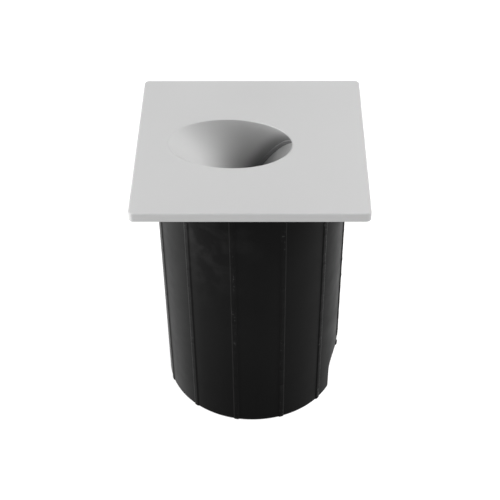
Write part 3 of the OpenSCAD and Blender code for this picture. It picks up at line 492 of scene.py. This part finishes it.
def face_plate_grid():
    """The plate is one closed ring of columns. A column with the bore angle p climbs the
    bore from the lens's lip, rounds the rim, crosses the top to the rounded-square
    edge, and comes back under the plate, down the spigot and round the boss."""
    count = PLATE_COLUMNS
    p = TAU * np.arange(count) / count
    cp, sp = np.cos(p), np.sin(p)
    down, fall = math.sin(math.radians(90 + SCOOP_TILT)), -math.cos(math.radians(90 + SCOOP_TILT))

    def bore(rho, s):
        rho, s = rho + 0 * p, s + 0 * p
        return in_scoop(np.stack([rho * cp, rho * sp, s], -1))

    def s_at(rho, z):
        """Distance down the bore at which the line (rho, p) is at height z."""
        return (PLATE_Z1 - z - rho * cp * down) / fall

    # Which column meets each corner of the square, and where the corner's arc is
    sign = np.array([[-1, 1], [1, 1], [1, -1], [-1, -1]])
    to_corner = sign * PLATE_HALF - np.array(SCOOP_AT[:2])
    corner_angle = np.arctan2(to_corner[:, 1], -to_corner[:, 0] * fall) % TAU
    middle = np.round(corner_angle / TAU * count).astype(int)
    step = np.arange(-CORNER_STEPS, CORNER_STEPS + 1)
    knots = (middle[:, None] + step).ravel()
    turn = (np.arange(4)[:, None] + (step + CORNER_STEPS) / (2 * CORNER_STEPS)) * math.pi / 2
    column = np.arange(count)

    def square(inset, z):
        """The plate's outline, a square with round corners, drawn in by inset."""
        reach, r = PLATE_HALF - PLATE_CORNER, PLATE_CORNER - inset
        x = (sign[:, :1] * reach - r * np.cos(turn)).ravel()
        y = (sign[:, 1:] * reach + r * np.sin(turn)).ravel()
        return np.stack([np.interp(column, knots, x, period=count),
                         np.interp(column, knots, y, period=count), z + 0 * p], -1)

    wrapped = np.concatenate([[middle[-1] - count], middle, [middle[0] + count]])
    round_angle = np.radians(np.interp(column, wrapped, [-45, 45, 135, 225, 315, 405]))

    def circle(r, z):
        return np.stack([-r * np.cos(round_angle), r * np.sin(round_angle), z + 0 * p], -1)

    def within_can(s):
        """The boss's radius along the line p at s, kept inside the housing's bore."""
        low, high = np.full(count, POCKET_R + 0.3), np.full(count, BOSS_R)
        for _ in range(24):
            rho = (low + high) / 2
            outside = np.linalg.norm(bore(rho, s)[:, :2], axis=1) > INNER_R
            high, low = np.where(outside, rho, high), np.where(outside, low, rho)
        return low

    rim_s = s_at(SCOOP_R, PLATE_Z1)
    rim = bore(SCOOP_R, rim_s)
    along = np.roll(rim, -1, 0) - np.roll(rim, 1, 0)
    outward = np.stack([-along[:, 1], along[:, 0], 0 * p], -1)
    outward /= np.linalg.norm(outward, axis=1, keepdims=True)
    outward *= np.sign(((rim - np.array(SCOOP_AT)) * outward).sum(1))[:, None]
    # The rim's rounding is 0.35 mm wide, and up to 0.65 mm where it is worn
    edge = 0.35 + 0.3 * smoothstep(2.5 * np.cos(p - RIM_WORN) - 1.5)
    low, high = bore(SCOOP_R, rim_s + edge), rim + outward * edge[:, None]
    rows = [bore(LIP_R, LIP_S0), bore(SCOOP_R - 0.3, LIP_S0), bore(SCOOP_R, LIP_S0)]
    climb = rim_s + edge + 0.15 - LIP_S0
    rows += [bore(SCOOP_R, LIP_S0 + climb * t) for t in np.linspace(0.02, 1, 9)]
    rows += [(1 - t) ** 2 * low + 2 * t * (1 - t) * rim + t * t * high
             for t in np.linspace(0, 1, 6)]
    rows += [rim + outward * (edge[:, None] + 0.2)]

    top_round, low_round = 0.5, 0.4
    inner, outer = rows[-1], square(top_round + 0.2, PLATE_Z1)
    rows += [inner + (outer - inner) * t for t in (0.2, 0.4, 0.6, 0.8)]
    rows += [outer]
    arc = np.linspace(0, math.pi / 2, 6)
    rows += [square(top_round * (1 - math.sin(t)), PLATE_Z1 - top_round * (1 - math.cos(t)))
             for t in arc]
    rows += [square(0, PLATE_Z1 - top_round - 0.15), square(0, PLATE_Z0 + low_round + 0.15)]
    rows += [square(low_round * (1 - math.cos(t)), PLATE_Z0 + low_round * (1 - math.sin(t)))
             for t in arc]
    rows += [square(low_round + 0.2, PLATE_Z0)]

    rows += [circle(GASKET_SEAT_R + 0.1, PLATE_Z0), circle(GASKET_SEAT_R, PLATE_Z0),
             circle(GASKET_SEAT_R, GASKET_Z1), circle(SPIGOT_R, GASKET_Z1),
             circle(SPIGOT_R, GASKET_Z1 - 0.1), circle(SPIGOT_R, SPIGOT_Z + 0.4),
             circle(SPIGOT_R - 0.3, SPIGOT_Z), circle(CAN_IN_R + 0.2, SPIGOT_Z)]

    # The boss: it starts where its side leaves the plate or the spigot's wall
    side = bore(BOSS_R, 0)
    reach = SCOOP_AXES[2][:2]
    b = (side[:, :2] * reach).sum(1)
    c = (side[:, :2] ** 2).sum(1) - INNER_R ** 2
    enters = (-b - np.sqrt(np.maximum(b * b - (reach @ reach) * c, 0))) / (reach @ reach)
    start = np.minimum(np.maximum(s_at(BOSS_R, PLATE_Z0), enters), BOSS_S - 2)
    first = bore(within_can(start), start)
    rows += [circle(CAN_IN_R, np.clip(first[:, 2], SPIGOT_Z + 0.2, PLATE_Z0))]
    for t in (0, 0.33, 0.67, 1):
        s = start + (BOSS_S - start) * t
        rows += [bore(within_can(s), s)]
    rows += [bore(POCKET_R, BOSS_S), bore(POCKET_R, LIP_S1), bore(LIP_R, LIP_S1)]
    return np.stack(rows)


# ---------------------------------------------------------------- sleeve

def sleeve_r(z):
    """Outer radius of the sleeve's wall at height z."""
    return FOOT_R + SLEEVE_DRAFT * z / SLEEVE_H


def rib_section():
    """Half angles from a rib's middle, in degrees, and its height there as a share:
    a broad flat crown whose sides roll smoothly down into the wall."""
    across = np.array([0, 0.3, 0.44, 0.54, 0.62, 0.7, 0.78, 0.87, 0.97, 1.1])
    height = np.array([1, 1, 0.98, 0.92, 0.79, 0.54, 0.27, 0.1, 0.02, 0])
    return np.degrees(across * RIB_W / 2 / SLEEVE_TOP_R), height


def ragged(z, a):
    """Share by which a rib's height wanders along it, as on a worn mould: three sines
    of z whose phases change with the rib's number, and now and then a small peak."""
    rib = np.round((a - RIB_SPACING / 2) / RIB_SPACING)
    wave = (0.5 * np.sin(0.9 * z + 2.1 * rib) + 0.25 * np.sin(2.3 * z + 5.7 * rib)
            + 0.25 * np.sin(4.9 * z + rib))
    return 1 + 0.1 * wave + 0.22 * smoothstep((wave - 0.76) / 0.1)


def sleeve_grid():
    """The sleeve is one closed ring of columns, mirrored about the notch's middle. Above
    17.5 mm the columns are vertical: cos and sin of their angle times the wall's
    radius plus the rib's height. Below, they fan out to the foot's outline, which
    runs along z = 0, round the corner of the notch, up its side, round the arc and
    across its top. Each column goes up the outside and comes down the inside."""
    fan_z, lead, soft = 17.5, 0.3, 0.6
    across, height = rib_section()
    rib_a = np.concatenate([-across[::-1], across[1:]])
    rib_height_share = np.concatenate([height[::-1], height[1:]])
    edge = across[-1]

    # Columns over half the sleeve: their angle from the notch's middle, and the rib's height
    def plain(a, b, n):
        return np.linspace(a, b, n + 1)[1:]

    arc_a, arc_b = 17.4, 29.0
    side_b, corner_b, foot_b = 34.0, 36.5, 45 - edge
    angle = [np.array([0.0]), plain(0, 15 - edge, 5), 15 + rib_a[1:]]
    rib = [np.zeros(1), np.zeros(5), rib_height_share[1:]]
    outline_from = sum(map(len, angle)) - 1
    n_flat, n_arc, n_side, n_corner, n_foot = 1, 12, 9, 5, 8
    end = 15 + edge
    angle += [plain(end, arc_a, n_flat), plain(arc_a, arc_b, n_arc), plain(arc_b, side_b, n_side),
              plain(side_b, corner_b, n_corner), plain(corner_b, foot_b, n_foot)]
    rib += [np.zeros(n_flat + n_arc + n_side + n_corner + n_foot)]
    for middle in (45, 75, 105, 135, 165):
        angle += [middle + rib_a[1:]]
        rib += [rib_height_share[1:]]
        last = 180 if middle == 165 else middle + 30 - edge
        angle += [plain(middle + edge, last, 5 if middle == 165 else 10)]
        rib += [np.zeros(5 if middle == 165 else 10)]
    angle, rib = np.concatenate(angle), np.concatenate(rib)
    n = len(angle)

    # The foot's outline: y across, z up, and the direction into the wall
    y, z = np.zeros(n), np.zeros(n)
    ny, nz = np.zeros(n), np.ones(n)
    flat = slice(0, outline_from + n_flat + 1)
    y[flat] = sleeve_r(NOTCH_H) * np.sin(np.radians(angle[flat]))
    y[flat] *= (NOTCH_HALF - NOTCH_ARC) / y[flat][-1]
    z[flat] = NOTCH_H
    at = outline_from + n_flat
    bend = np.linspace(90, 0, n_arc + 1)[1:] * math.pi / 180
    arc = slice(at + 1, at + 1 + n_arc)
    y[arc] = NOTCH_HALF - NOTCH_ARC + NOTCH_ARC * np.cos(bend)
    z[arc] = NOTCH_H - NOTCH_ARC + NOTCH_ARC * np.sin(bend)
    ny[arc], nz[arc] = np.cos(bend), np.sin(bend)
    at += n_arc
    heights = np.array([7, 5.5, 4, 3, FOOT_T, FOOT_T, 1.5, 1.0, soft])
    side = slice(at + 1, at + 1 + n_side)
    y[side], z[side] = NOTCH_HALF, heights
    ny[side], nz[side] = 1, 0
    ring_from = at + 6  # the second of the two columns that meet the foot ring's top
    at += n_side
    bend = np.linspace(180, 270, n_corner + 1)[1:] * math.pi / 180
    corner = slice(at + 1, at + 1 + n_corner)
    y[corner] = NOTCH_HALF + soft + soft * np.cos(bend)
    z[corner] = soft + soft * np.sin(bend)
    ny[corner], nz[corner] = -np.cos(bend), -np.sin(bend)
    at += n_corner
    foot = at
    has_ring = np.arange(n) >= ring_from

    def surface_angle(r, y, blend_to):
        """Angle of an outline point on a wall of radius r; along z = 0 it runs evenly
        from the notch's corner to the plain columns."""
        a = np.degrees(np.arcsin(np.clip(y / r, -1, 1)))
        first, last = a[foot], blend_to
        even = first + (angle - corner_b) * (last - first) / (last - corner_b)
        return np.where(np.arange(n) > foot, np.where(angle < last, even, angle), a)

    def point(a, z, r):
        a = np.radians(a)
        return np.stack([r * np.cos(a), r * np.sin(a), z + 0 * a], -1)

    def inner_r(z):
        return sleeve_r(z) - SLEEVE_WALL

    def rib_height(z, a):
        """Ribs over the notch have a nick a little above its edge."""
        nick = smoothstep((z - 16.0) / 0.6) * (1 - smoothstep((z - 18.0) / 2.2))
        return rib * RIB_H * np.where(np.abs(a) < 30, 1 - 0.85 * nick, 1.0) * ragged(z, a)

    in_foot = surface_angle(inner_r(z), y, foot_b)
    ring_a = surface_angle(FOOT_IN_R, y, 75.0)

    def wall(radius, share, step, ribs):
        """A row on a wall, `step` mm from the foot's outline and then a share of the way
        to the height where the columns are vertical."""
        y1, z1 = y + ny * step, z + nz * step
        a = surface_angle(radius(z1), y1, foot_b)
        a, zz = a + (angle - a) * share, z1 + (fan_z - z1) * share
        return a, zz, radius(zz) + (rib_height(zz, angle) if ribs else 0)

    rows = []
    for t in np.linspace(0, math.pi / 2, 5):  # the rounded outer edge of the foot and the notch
        a, zz, r = wall(sleeve_r, 0, lead * (1 - math.cos(t)), True)
        rows.append(point(a, zz, r - lead * (1 - math.sin(t))))
    for share in (0.02, 0.12, 0.3, 0.5, 0.75, 1.0):
        rows.append(point(*wall(sleeve_r, share, lead, True)))
    for zz in (17.9, 18.3, 18.8, 19.3, 19.8, 20.3, *np.arange(20.9, 99.8, 0.6), 99.9, 100.15):
        rows.append(point(angle, zz, sleeve_r(zz) + rib_height(zz, angle)))
    root = sleeve_r(COLLAR_Z) + rib_height(COLLAR_Z, angle)
    rows.append(point(angle, COLLAR_Z, np.maximum(root, sleeve_r(COLLAR_Z) + 0.1)))
    collar = rounded([(COLLAR_R - 0.2, COLLAR_Z), (COLLAR_R, COLLAR_Z), (COLLAR_R, SLEEVE_H),
                      (inner_r(SLEEVE_H), SLEEVE_H), (inner_r(SLEEVE_H), SLEEVE_H - 3)],
                     [0, 0.25, 0.35, 0.35, 0], 4)
    ends = 8  # points of each end corner, and the guard next to them
    rows += [point(angle, zz, rr) for rr, zz in collar[ends:-ends]]
    for zz in (98, 80, 60, 40, 25, 19):
        rows.append(point(angle, zz, inner_r(zz)))
    for share in (1.0, 0.5, 0.1):
        a, zz, _ = wall(inner_r, share, lead, False)
        zz = np.where(has_ring & (zz < FOOT_T + 0.3), FOOT_T + 0.3, zz)
        rows.append(point(a, zz, inner_r(zz)))
    on_face = np.where(np.arange(n) < ring_from - 1, lead, 0.0)
    for t in (0.5, 0.0):  # the inner edge, and the foot ring where there is one
        a, zz, _ = wall(inner_r, 0, lead * t * 0.5, False)
        zz = np.where(has_ring, FOOT_T, zz)
        at_ring = np.where(has_ring, in_foot, a)
        rows.append(point(at_ring, zz, inner_r(zz) + on_face * (1 - t * 0.5)))
    mid = point(in_foot, z, inner_r(z) + on_face)
    ring_r = np.where(has_ring, FOOT_IN_R, inner_r(z) + on_face)
    ring_angle = np.where(has_ring, ring_a, in_foot)
    ring_top = np.where(has_ring, FOOT_T, z)
    rows.append(point(ring_angle, ring_top, ring_r))
    rows.append(point(ring_angle, z, ring_r))
    rows.append(mid)

    half = np.stack(rows)
    other = half[:, -2:0:-1] * np.array([1, -1, 1])
    grid = np.concatenate([half, other], 1)
    a = math.radians(NOTCH_TURN)
    spin = np.array([[math.cos(a), math.sin(a), 0], [-math.sin(a), math.cos(a), 0], [0, 0, 1]])
    return grid @ spin


# ---------------------------------------------------------------- hardware under the plate

LEAF_R, CREST_R, TIP_INSET = 27.3, 30.171, 1.6
LEAF_TOP_Z, LEAF_SCREW_Z, LEAF_BEND_Z, CREST_Z, TIP_Z = 92.0, 88.0, 84.0, 62.0, 48.0
LEAF_HALF, LEAF_T, LEAF_HOLE_R = 4.0, 0.4, 1.5
SPRING_TURNS = (30, 150, 270)


def leaf_r(z):
    """Distance of a grip spring's middle from the axis at height z: straight behind its
    screw, then half a cosine out to the crest, then a quarter cosine in to the tip."""
    swell = np.clip((LEAF_BEND_Z - z) / (LEAF_BEND_Z - CREST_Z), 0, 1)
    tuck = np.clip((CREST_Z - z) / (CREST_Z - TIP_Z), 0, 1)
    return (LEAF_R + (CREST_R - LEAF_R) * (1 - np.cos(math.pi * swell)) / 2
            - TIP_INSET * (1 - np.cos(math.pi / 2 * tuck)))


def leaf_outline(inset):
    """A leaf's flat outline as (y, z), drawn in by inset, with the same points each time."""
    half, top, tip = LEAF_HALF - inset, LEAF_TOP_Z - inset, TIP_Z + inset
    return rounded([(half, top), (half, tip), (-half, tip), (-half, top)],
                   np.array([1.2, 2.6, 2.6, 1.2]) - inset, 6)


def leaf_grid(turn):
    """A grip spring as a closed ring of columns. Each column leaves the screw hole on a
    ray to a point of the outline, rounds the edge, and comes back behind. A point
    (y, z) of the flat blank goes to (r(z) + offset, y, z), and then turns about Z."""
    knots = np.vstack([leaf_outline(0), leaf_outline(0)[:1]])
    length = np.concatenate([[0], np.cumsum(np.linalg.norm(np.diff(knots, axis=0), axis=1))])
    along = np.union1d(length[:-1], np.arange(0, length[-1] - 0.3, 1.1))

    def blank(inset):
        line = leaf_outline(inset)
        line = np.vstack([line, line[:1]])
        return np.stack([np.interp(along, length, line[:, k]) for k in (0, 1)], -1)

    screw = np.array([0.0, LEAF_SCREW_Z])
    ray = blank(0) - screw
    hole = screw + LEAF_HOLE_R * ray / np.linalg.norm(ray, axis=1, keepdims=True)
    soft, half, count = 0.12, LEAF_T / 2, 36
    flat = [hole + (blank(soft) - hole) * t for t in np.linspace(0, 1, count)]
    bend = np.linspace(0, math.pi, 7)[1:-1]
    rim = [blank(soft * (1 - math.sin(a))) for a in bend]
    points = np.stack(flat + rim + flat[::-1])
    edge = half - soft * (1 - np.cos(bend)) - (LEAF_T - 2 * soft) * (bend > math.pi / 2 + 0.01)
    offset = np.concatenate([np.full(count, half), edge, np.full(count, -half)])
    y, z = points[..., 0], points[..., 1]
    r, a = leaf_r(z) + offset[:, None], math.radians(turn)
    return np.stack([r * math.cos(a) - y * math.sin(a), r * math.sin(a) + y * math.cos(a), z], -1)


SCREW_R, SCREW_HEAD_R, SCREW_HEAD_H = 1.25, 2.1875, 1.5625
FLANGE_SCREW_R, FLANGE_Z = 28.48, 94.5


def pan_screw_grid(length, turn):
    """A pan-head screw that stands on z = 0 with its shank below. Its dome is an ellipse,
    z = h0 + h1 sqrt(1 - (rho / R)^2), less a cross recess made of two soft-sided bars."""
    count, base = 72, 0.6
    t = TAU * np.arange(count) / count
    lower = [(0, -length), (SCREW_R - 0.3, -length), (SCREW_R, 0.3 - length),
             (SCREW_R, -0.05), (SCREW_R, 0), (SCREW_HEAD_R - 0.1, 0), (SCREW_HEAD_R, 0.1)]
    a = np.linspace(0, math.pi / 2, 34)
    rho = np.concatenate([[r for r, _ in lower], SCREW_HEAD_R * np.cos(a)])
    z = np.concatenate([[z for _, z in lower], base + (SCREW_HEAD_H - base) * np.sin(a)])
    x, y = rho[:, None] * np.cos(t), rho[:, None] * np.sin(t)

    def bar(u, v):
        within_length = 1 - smoothstep((np.abs(u) - 1.2) / 0.12)
        return within_length * (1 - smoothstep((np.abs(v) - 0.24) / 0.1))

    recess = np.maximum(bar(x, y), bar(y, x)) * (z > base)[:, None]
    place = np.stack([x, y, z[:, None] - 0.75 * recess], -1)
    c, s = math.cos(math.radians(turn)), math.sin(math.radians(turn))
    return place @ np.array([[c, s, 0], [-s, c, 0], [0, 0, 1]])


def flange_screw(turn):
    """A screw that hangs head down under the housing's flange."""
    place = pan_screw_grid(7.5, 3.7 * turn) * np.array([1, -1, -1])
    a = math.radians(turn)
    r = FLANGE_SCREW_R
    return place + np.array([r * math.cos(a), r * math.sin(a), FLANGE_Z])


def facing_outwards(grid, turn):
    """Points laid on their side: +Z comes to face outwards at the angle turn."""
    c, s = math.cos(math.radians(turn)), math.sin(math.radians(turn))
    return grid @ np.array([[0, 0, -1], [-s, c, 0], [c, s, 0]])


def spring_screw(turn):
    """A screw whose head faces outwards on a grip spring."""
    raised = pan_screw_grid(3.0, 2.3 * turn) + np.array([0, 0, LEAF_R + LEAF_T])
    return facing_outwards(raised, turn) + np.array([0, 0, LEAF_SCREW_Z])


HEX_ACROSS, HEX_CORNER_R = 16.0, 9.05


def hexagonal(profile):
    """Rows of (radius, z, limit) as a surface about Z. A row with a limit follows a
    hexagon, r(t) = across / (2 cos(t mod 60 - 30)), cut off at that limit, as a nut's
    turned chamfer does; a row with limit 0 is a circle of its radius."""
    step = np.array([0, 1.2, 2.4, 4, 7, 12, 18, 24, 30, 36, 42, 48, 53, 56, 57.6, 58.8])
    t = np.radians((60 * np.arange(6)[:, None] + step).ravel())
    flat = HEX_ACROSS / 2 / np.cos(np.radians(np.degrees(t) % 60 - 30))
    radius, z, limit = (np.array(c)[:, None] for c in zip(*profile))
    r = np.where(limit > 0, np.minimum(flat, limit) + radius, radius)
    return np.stack([r * np.cos(t), r * np.sin(t), z + 0 * t], -1)


def cap_nut_grid():
    """The gland's cap nut: up its dome and six flats, and down its stepped bore."""
    a = np.linspace(0, math.pi / 2, 7)
    rows = [(4.25, 22.0, 0), (6.0, 22.0, 0)]
    rows += [(6.2 + 1.8 * math.sin(b), 22.0 + 2 * (1 - math.cos(b)), 0) for b in a[:-1]]
    rows += [(0, 24.0, 8.0), (0, 24.5, 8.85), (0, 24.65, HEX_CORNER_R),
             (0, 34.9, HEX_CORNER_R), (0, 35.05, 8.9), (-0.1, 35.4, 8.5), (-0.25, 35.5, 8.4),
             (6.9, 35.5, 0), (6.7, 35.3, 0), (6.7, 26.6, 0), (4.05, 26.6, 0), (4.05, 22.2, 0)]
    return hexagonal(rows)


def gland_body_grid():
    """The gland's body: a neck, a chamfered hexagon, and a threaded end in the housing."""
    ridges = np.arange(42.6, 48.8, 0.375)
    thread = [(5.9 - 0.3 * (k % 2), z, 0) for k, z in enumerate(ridges)]
    rows = [(4.9, 27.0, 0), (6.35, 27.0, 0), (6.6, 27.25, 0), (6.6, 35.9, 0), (6.6, 36.0, 0),
            (-0.25, 36.0, 8.4), (-0.1, 36.1, 8.5), (0, 36.35, 8.9), (0, 36.5, HEX_CORNER_R),
            (0, 40.5, HEX_CORNER_R), (0, 40.65, 8.9), (-0.1, 40.9, 8.5), (-0.25, 41.0, 8.4),
            (5.9, 41.0, 0), (5.9, 42.2, 0), *thread, (5.5, 49.5, 0), (3.6, 49.5, 0),
            (3.6, 35.95, 0), (4.9, 35.95, 0)]
    return hexagonal(rows)


FLANGE_R, FLOOR_HOLE_R, THREAD_R = 30.76, 6.15, 1.3
BOARD_PILLARS, PILLAR_CIRCLE_R = (90, 210, 330), 18.5
EARTH_AT = (14.7, 8.5)


def housing_grid():
    """The cast can: one outline round the floor, the wall and the flange, turned about Z.
    The holes of the flange are left out, because a screw fills and covers each."""
    corners = [(FLOOR_HOLE_R, CAN_Z), (CAN_R, CAN_Z), (CAN_R, FLANGE_Z), (FLANGE_R, FLANGE_Z),
               (FLANGE_R, SPIGOT_Z), (CAN_IN_R, SPIGOT_Z), (CAN_IN_R, FLOOR_Z),
               (FLOOR_HOLE_R, FLOOR_Z)]
    return turned(rounded(corners, [0.2, 0.9, 0.4, 0.35, 0.2, 0.2, 0.6, 0.2]), 192)


def boss_grid(foot, hole, top, r):
    """A stub about Z from foot to top, with softened rim and a blind screw hole in it."""
    return turned([(0, hole), (THREAD_R, hole), (THREAD_R, top), (r - 0.2, top), (r, top - 0.2),
                   (r, foot), (0, foot)], 48)


def boss_grids():
    """The bosses inside and outside the can: pillars under the driver board, the earth
    screw's boss, and a seat behind each spring, which is laid on its side."""
    foot = FLOOR_Z - 0.2
    pillar, earth = boss_grid(foot, 47.5, 53.5, 3.0), boss_grid(foot, 44.9, 47.5, 3.5)
    seat = boss_grid(25.0, 25.3, 26.9, 2.2)
    bosses = [earth + np.array([*EARTH_AT, 0])]
    for turn in BOARD_PILLARS:
        a = math.radians(turn)
        bosses.append(pillar + PILLAR_CIRCLE_R * np.array([math.cos(a), math.sin(a), 0]))
    for turn in SPRING_TURNS:
        bosses.append(facing_outwards(seat, turn) + np.array([0, 0, LEAF_SCREW_Z]))
    return bosses


# ---------------------------------------------------------------- pieces

def make_pieces():
    new_piece("painted_face_plate", [face_plate_grid()], "head", ["face_plate"], "plate_paint",
              sharp=40)
    new_piece("ribbed_sleeve", [sleeve_grid()], "sleeve", ["sleeve"], "sleeve_plastic", sharp=50)
    gasket = rounded([(GASKET_IN_R, GASKET_Z0), (GASKET_R, GASKET_Z0), (GASKET_R, GASKET_Z1),
                      (GASKET_IN_R, GASKET_Z1)], [0.2, 0.5, 0.5, 0.2], 4)
    new_piece("rim_seal", [turned(gasket, 160)], "rim_gasket", ["rim_gasket"], "seal_rubber")
    ring = rounded([(14.15, 18.5), (14.45, 18.5), (14.45, LENS_S0), (14.15, LENS_S0)],
                   [0.12, 0.1, 0.05, 0.05], 3, near=0.02)
    new_piece("lens_retaining_ring", [in_scoop(turned(ring, 128))], "head", ["lens_ring"],
              "plate_paint")
    glass = rounded([(0, LENS_S0), (LENS_R, LENS_S0), (LENS_R, LENS_S1), (0, LENS_S1)],
                    [0, 0.3, 0.3, 0], 4)
    ends = 7  # points of each end corner, where one point on the axis is enough
    glass = np.concatenate([[[0, LENS_S0]], glass[ends:-ends], [[0, LENS_S1]]])
    new_piece("frosted_lens", [in_scoop(turned(glass, 128))], "head", ["lens"], "frosted_glass",
              closed=False)
    for number, turn in enumerate(SPRING_TURNS, 1):
        node = f"grip_spring_{number}"
        new_piece(f"grip_leaf_{number}", [leaf_grid(turn)], node, [node], "spring_steel")
    new_piece("flange_pan_screws", [flange_screw(turn) for turn in range(0, 360, 60)], "head",
              ["housing_screws"], "stainless", closed=False)
    new_piece("leaf_pan_screws", [spring_screw(turn) for turn in SPRING_TURNS], "head",
              ["spring_screws"], "stainless", closed=False)
    new_piece("gland_cap_nut", [cap_nut_grid()], "head", ["gland_nut"], "gland_nylon", sharp=30)
    new_piece("gland_hexagon", [gland_body_grid()], "head", ["gland_body"], "gland_nylon",
              sharp=30)
    new_piece("cast_housing", [housing_grid()], "head", ["rear_housing"], "alloy")
    new_piece("housing_bosses", boss_grids(), "head", ["rear_housing"], "alloy", closed=False)


# ---------------------------------------------------------------- studio

def place_camera():
    """The photograph's viewpoint, fitted from the corners of the plate and the sleeve."""
    eye, aim = Vector((5.93, -370.92, 370.59)) * MM, Vector((-0.68, 0.0, 57.35)) * MM
    roll = math.radians(-0.635)
    forward = (aim - eye).normalized()
    right = forward.cross(Vector((0, 0, 1))).normalized()
    up = right.cross(forward)
    across = right * math.cos(roll) + up * math.sin(roll)
    upright = up * math.cos(roll) - right * math.sin(roll)
    data = bpy.data.cameras.new("camera")
    data.sensor_width, data.lens = 36.0, 93.376
    data.clip_start, data.clip_end = 0.01, 30.0
    camera = bpy.data.objects.new("camera", data)
    bpy.context.scene.collection.objects.link(camera)
    turned_to = Matrix((across, upright, -forward)).transposed().to_4x4()
    camera.matrix_world = Matrix.Translation(eye) @ turned_to
    bpy.context.scene.camera = camera


def soft_box(name, bearing, height, watts):
    """A square soft light on a ball round BOX_AIM, which it looks at."""
    data = bpy.data.lights.new(name, "AREA")
    data.shape, data.size, data.energy = "SQUARE", BOX_SIZE, watts
    light = bpy.data.objects.new(name, data)
    bpy.context.scene.collection.objects.link(light)
    out = Vector((math.cos(height) * math.cos(bearing), math.cos(height) * math.sin(bearing),
                  math.sin(height)))
    light.location = Vector(BOX_AIM) + BOX_DISTANCE * out
    light.rotation_euler = (-out).to_track_quat("-Z", "Y").to_euler()


# The soft boxes: name, compass bearing from +X and height above the horizon in
# degrees, and watts. The low one on the left shines down the scoop to the lens.
SOFT_BOXES = [
    ("left_box", 180, 15, 40.0),
    ("front_left_box", 225, 15, 10.6),
    ("front_right_box", 315, 40, 5.2),
    ("right_box", 0, 34, 21.0),
    ("back_right_box", 45, 40, 12.2),
]
BOX_AIM, BOX_DISTANCE, BOX_SIZE = (0, 0, 0.1), 1.4, 0.8
SKY_LEVEL = 0.2
FLOOR_TONE, FLOOR_GLOW = 0.25, 0.78


def backdrop_grid():
    """A round table that sweeps up into a low wall: a flat disc just below the foot, a
    quarter circle, and an upright band, all turned about Z."""
    bend = np.linspace(0, math.pi / 2, 13)
    profile = [(r, -0.05) for r in (400, 1000, 2500, 4200)]
    profile += [(5600 + 1100 * math.sin(a), 1100 * (1 - math.cos(a)) - 0.05) for a in bend]
    return turned(profile + [(6700, 1270)], 96) * MM


def table_finish():
    """White and softly glowing; up the wall both sink to the tone of the surround."""
    rise = fade_layer((0, 0, 0), (0, 0, 1), 150, 1230, EVERYWHERE, grey(0.0))
    material = finish("studio_floor", grey(FLOOR_TONE), grey(FLOOR_TONE), 0.9, 0.02,
                      specular=0.1, clouds=3, grain=200, depth=0.001, layers=[rise],
                      Emission_Strength=FLOOR_GLOW)
    nodes, link = material.node_tree.nodes, material.node_tree.links.new
    glow = nodes.new("ShaderNodeMix")
    glow.data_type = "RGBA"
    glow.inputs["A"].default_value = (1, 1, 1, 1)
    glow.inputs["B"].default_value = (*grey(SKY_LEVEL / FLOOR_GLOW), 1)
    mask = next(node for node in nodes if node.type == "GROUP" and node.node_tree == FADE)
    link(mask.outputs["Mask"], glow.inputs["Factor"])
    link(glow.outputs["Result"], nodes["Principled BSDF"].inputs["Emission Color"])
    return material


def build_studio():
    """A pale, softly backlit table under an even surround, with a ring of soft boxes."""
    grid = backdrop_grid()
    rows, cols = grid.shape[:2]
    i, j = np.meshgrid(np.arange(rows - 1), np.arange(cols), indexing="ij")
    j1 = (j + 1) % cols
    quads = np.stack([i * cols + j, (i + 1) * cols + j, (i + 1) * cols + j1, i * cols + j1], -1)
    mesh = bpy.data.meshes.new("floor")
    faces = quads.reshape(-1, 4).tolist() + [list(range(cols))]
    mesh.from_pydata(grid.reshape(-1, 3).tolist(), [], faces)
    mesh.shade_smooth()
    floor = bpy.data.objects.new("floor", mesh)
    bpy.context.scene.collection.objects.link(floor)
    mesh.materials.append(table_finish())
    world = bpy.data.worlds.new("studio")
    bpy.context.scene.world = world
    world.use_nodes = True
    world.node_tree.nodes["Background"].inputs["Color"].default_value = (1, 1, 1, 1)
    world.node_tree.nodes["Background"].inputs["Strength"].default_value = SKY_LEVEL
    for name, bearing, height, watts in SOFT_BOXES:
        soft_box(name, math.radians(bearing), math.radians(height), watts)
    view = bpy.context.scene.view_settings
    view.view_transform, view.look, view.exposure, view.gamma = "Standard", "None", 0.0, 1.0


dress_cad_nodes()
make_pieces()
place_camera()
build_studio()
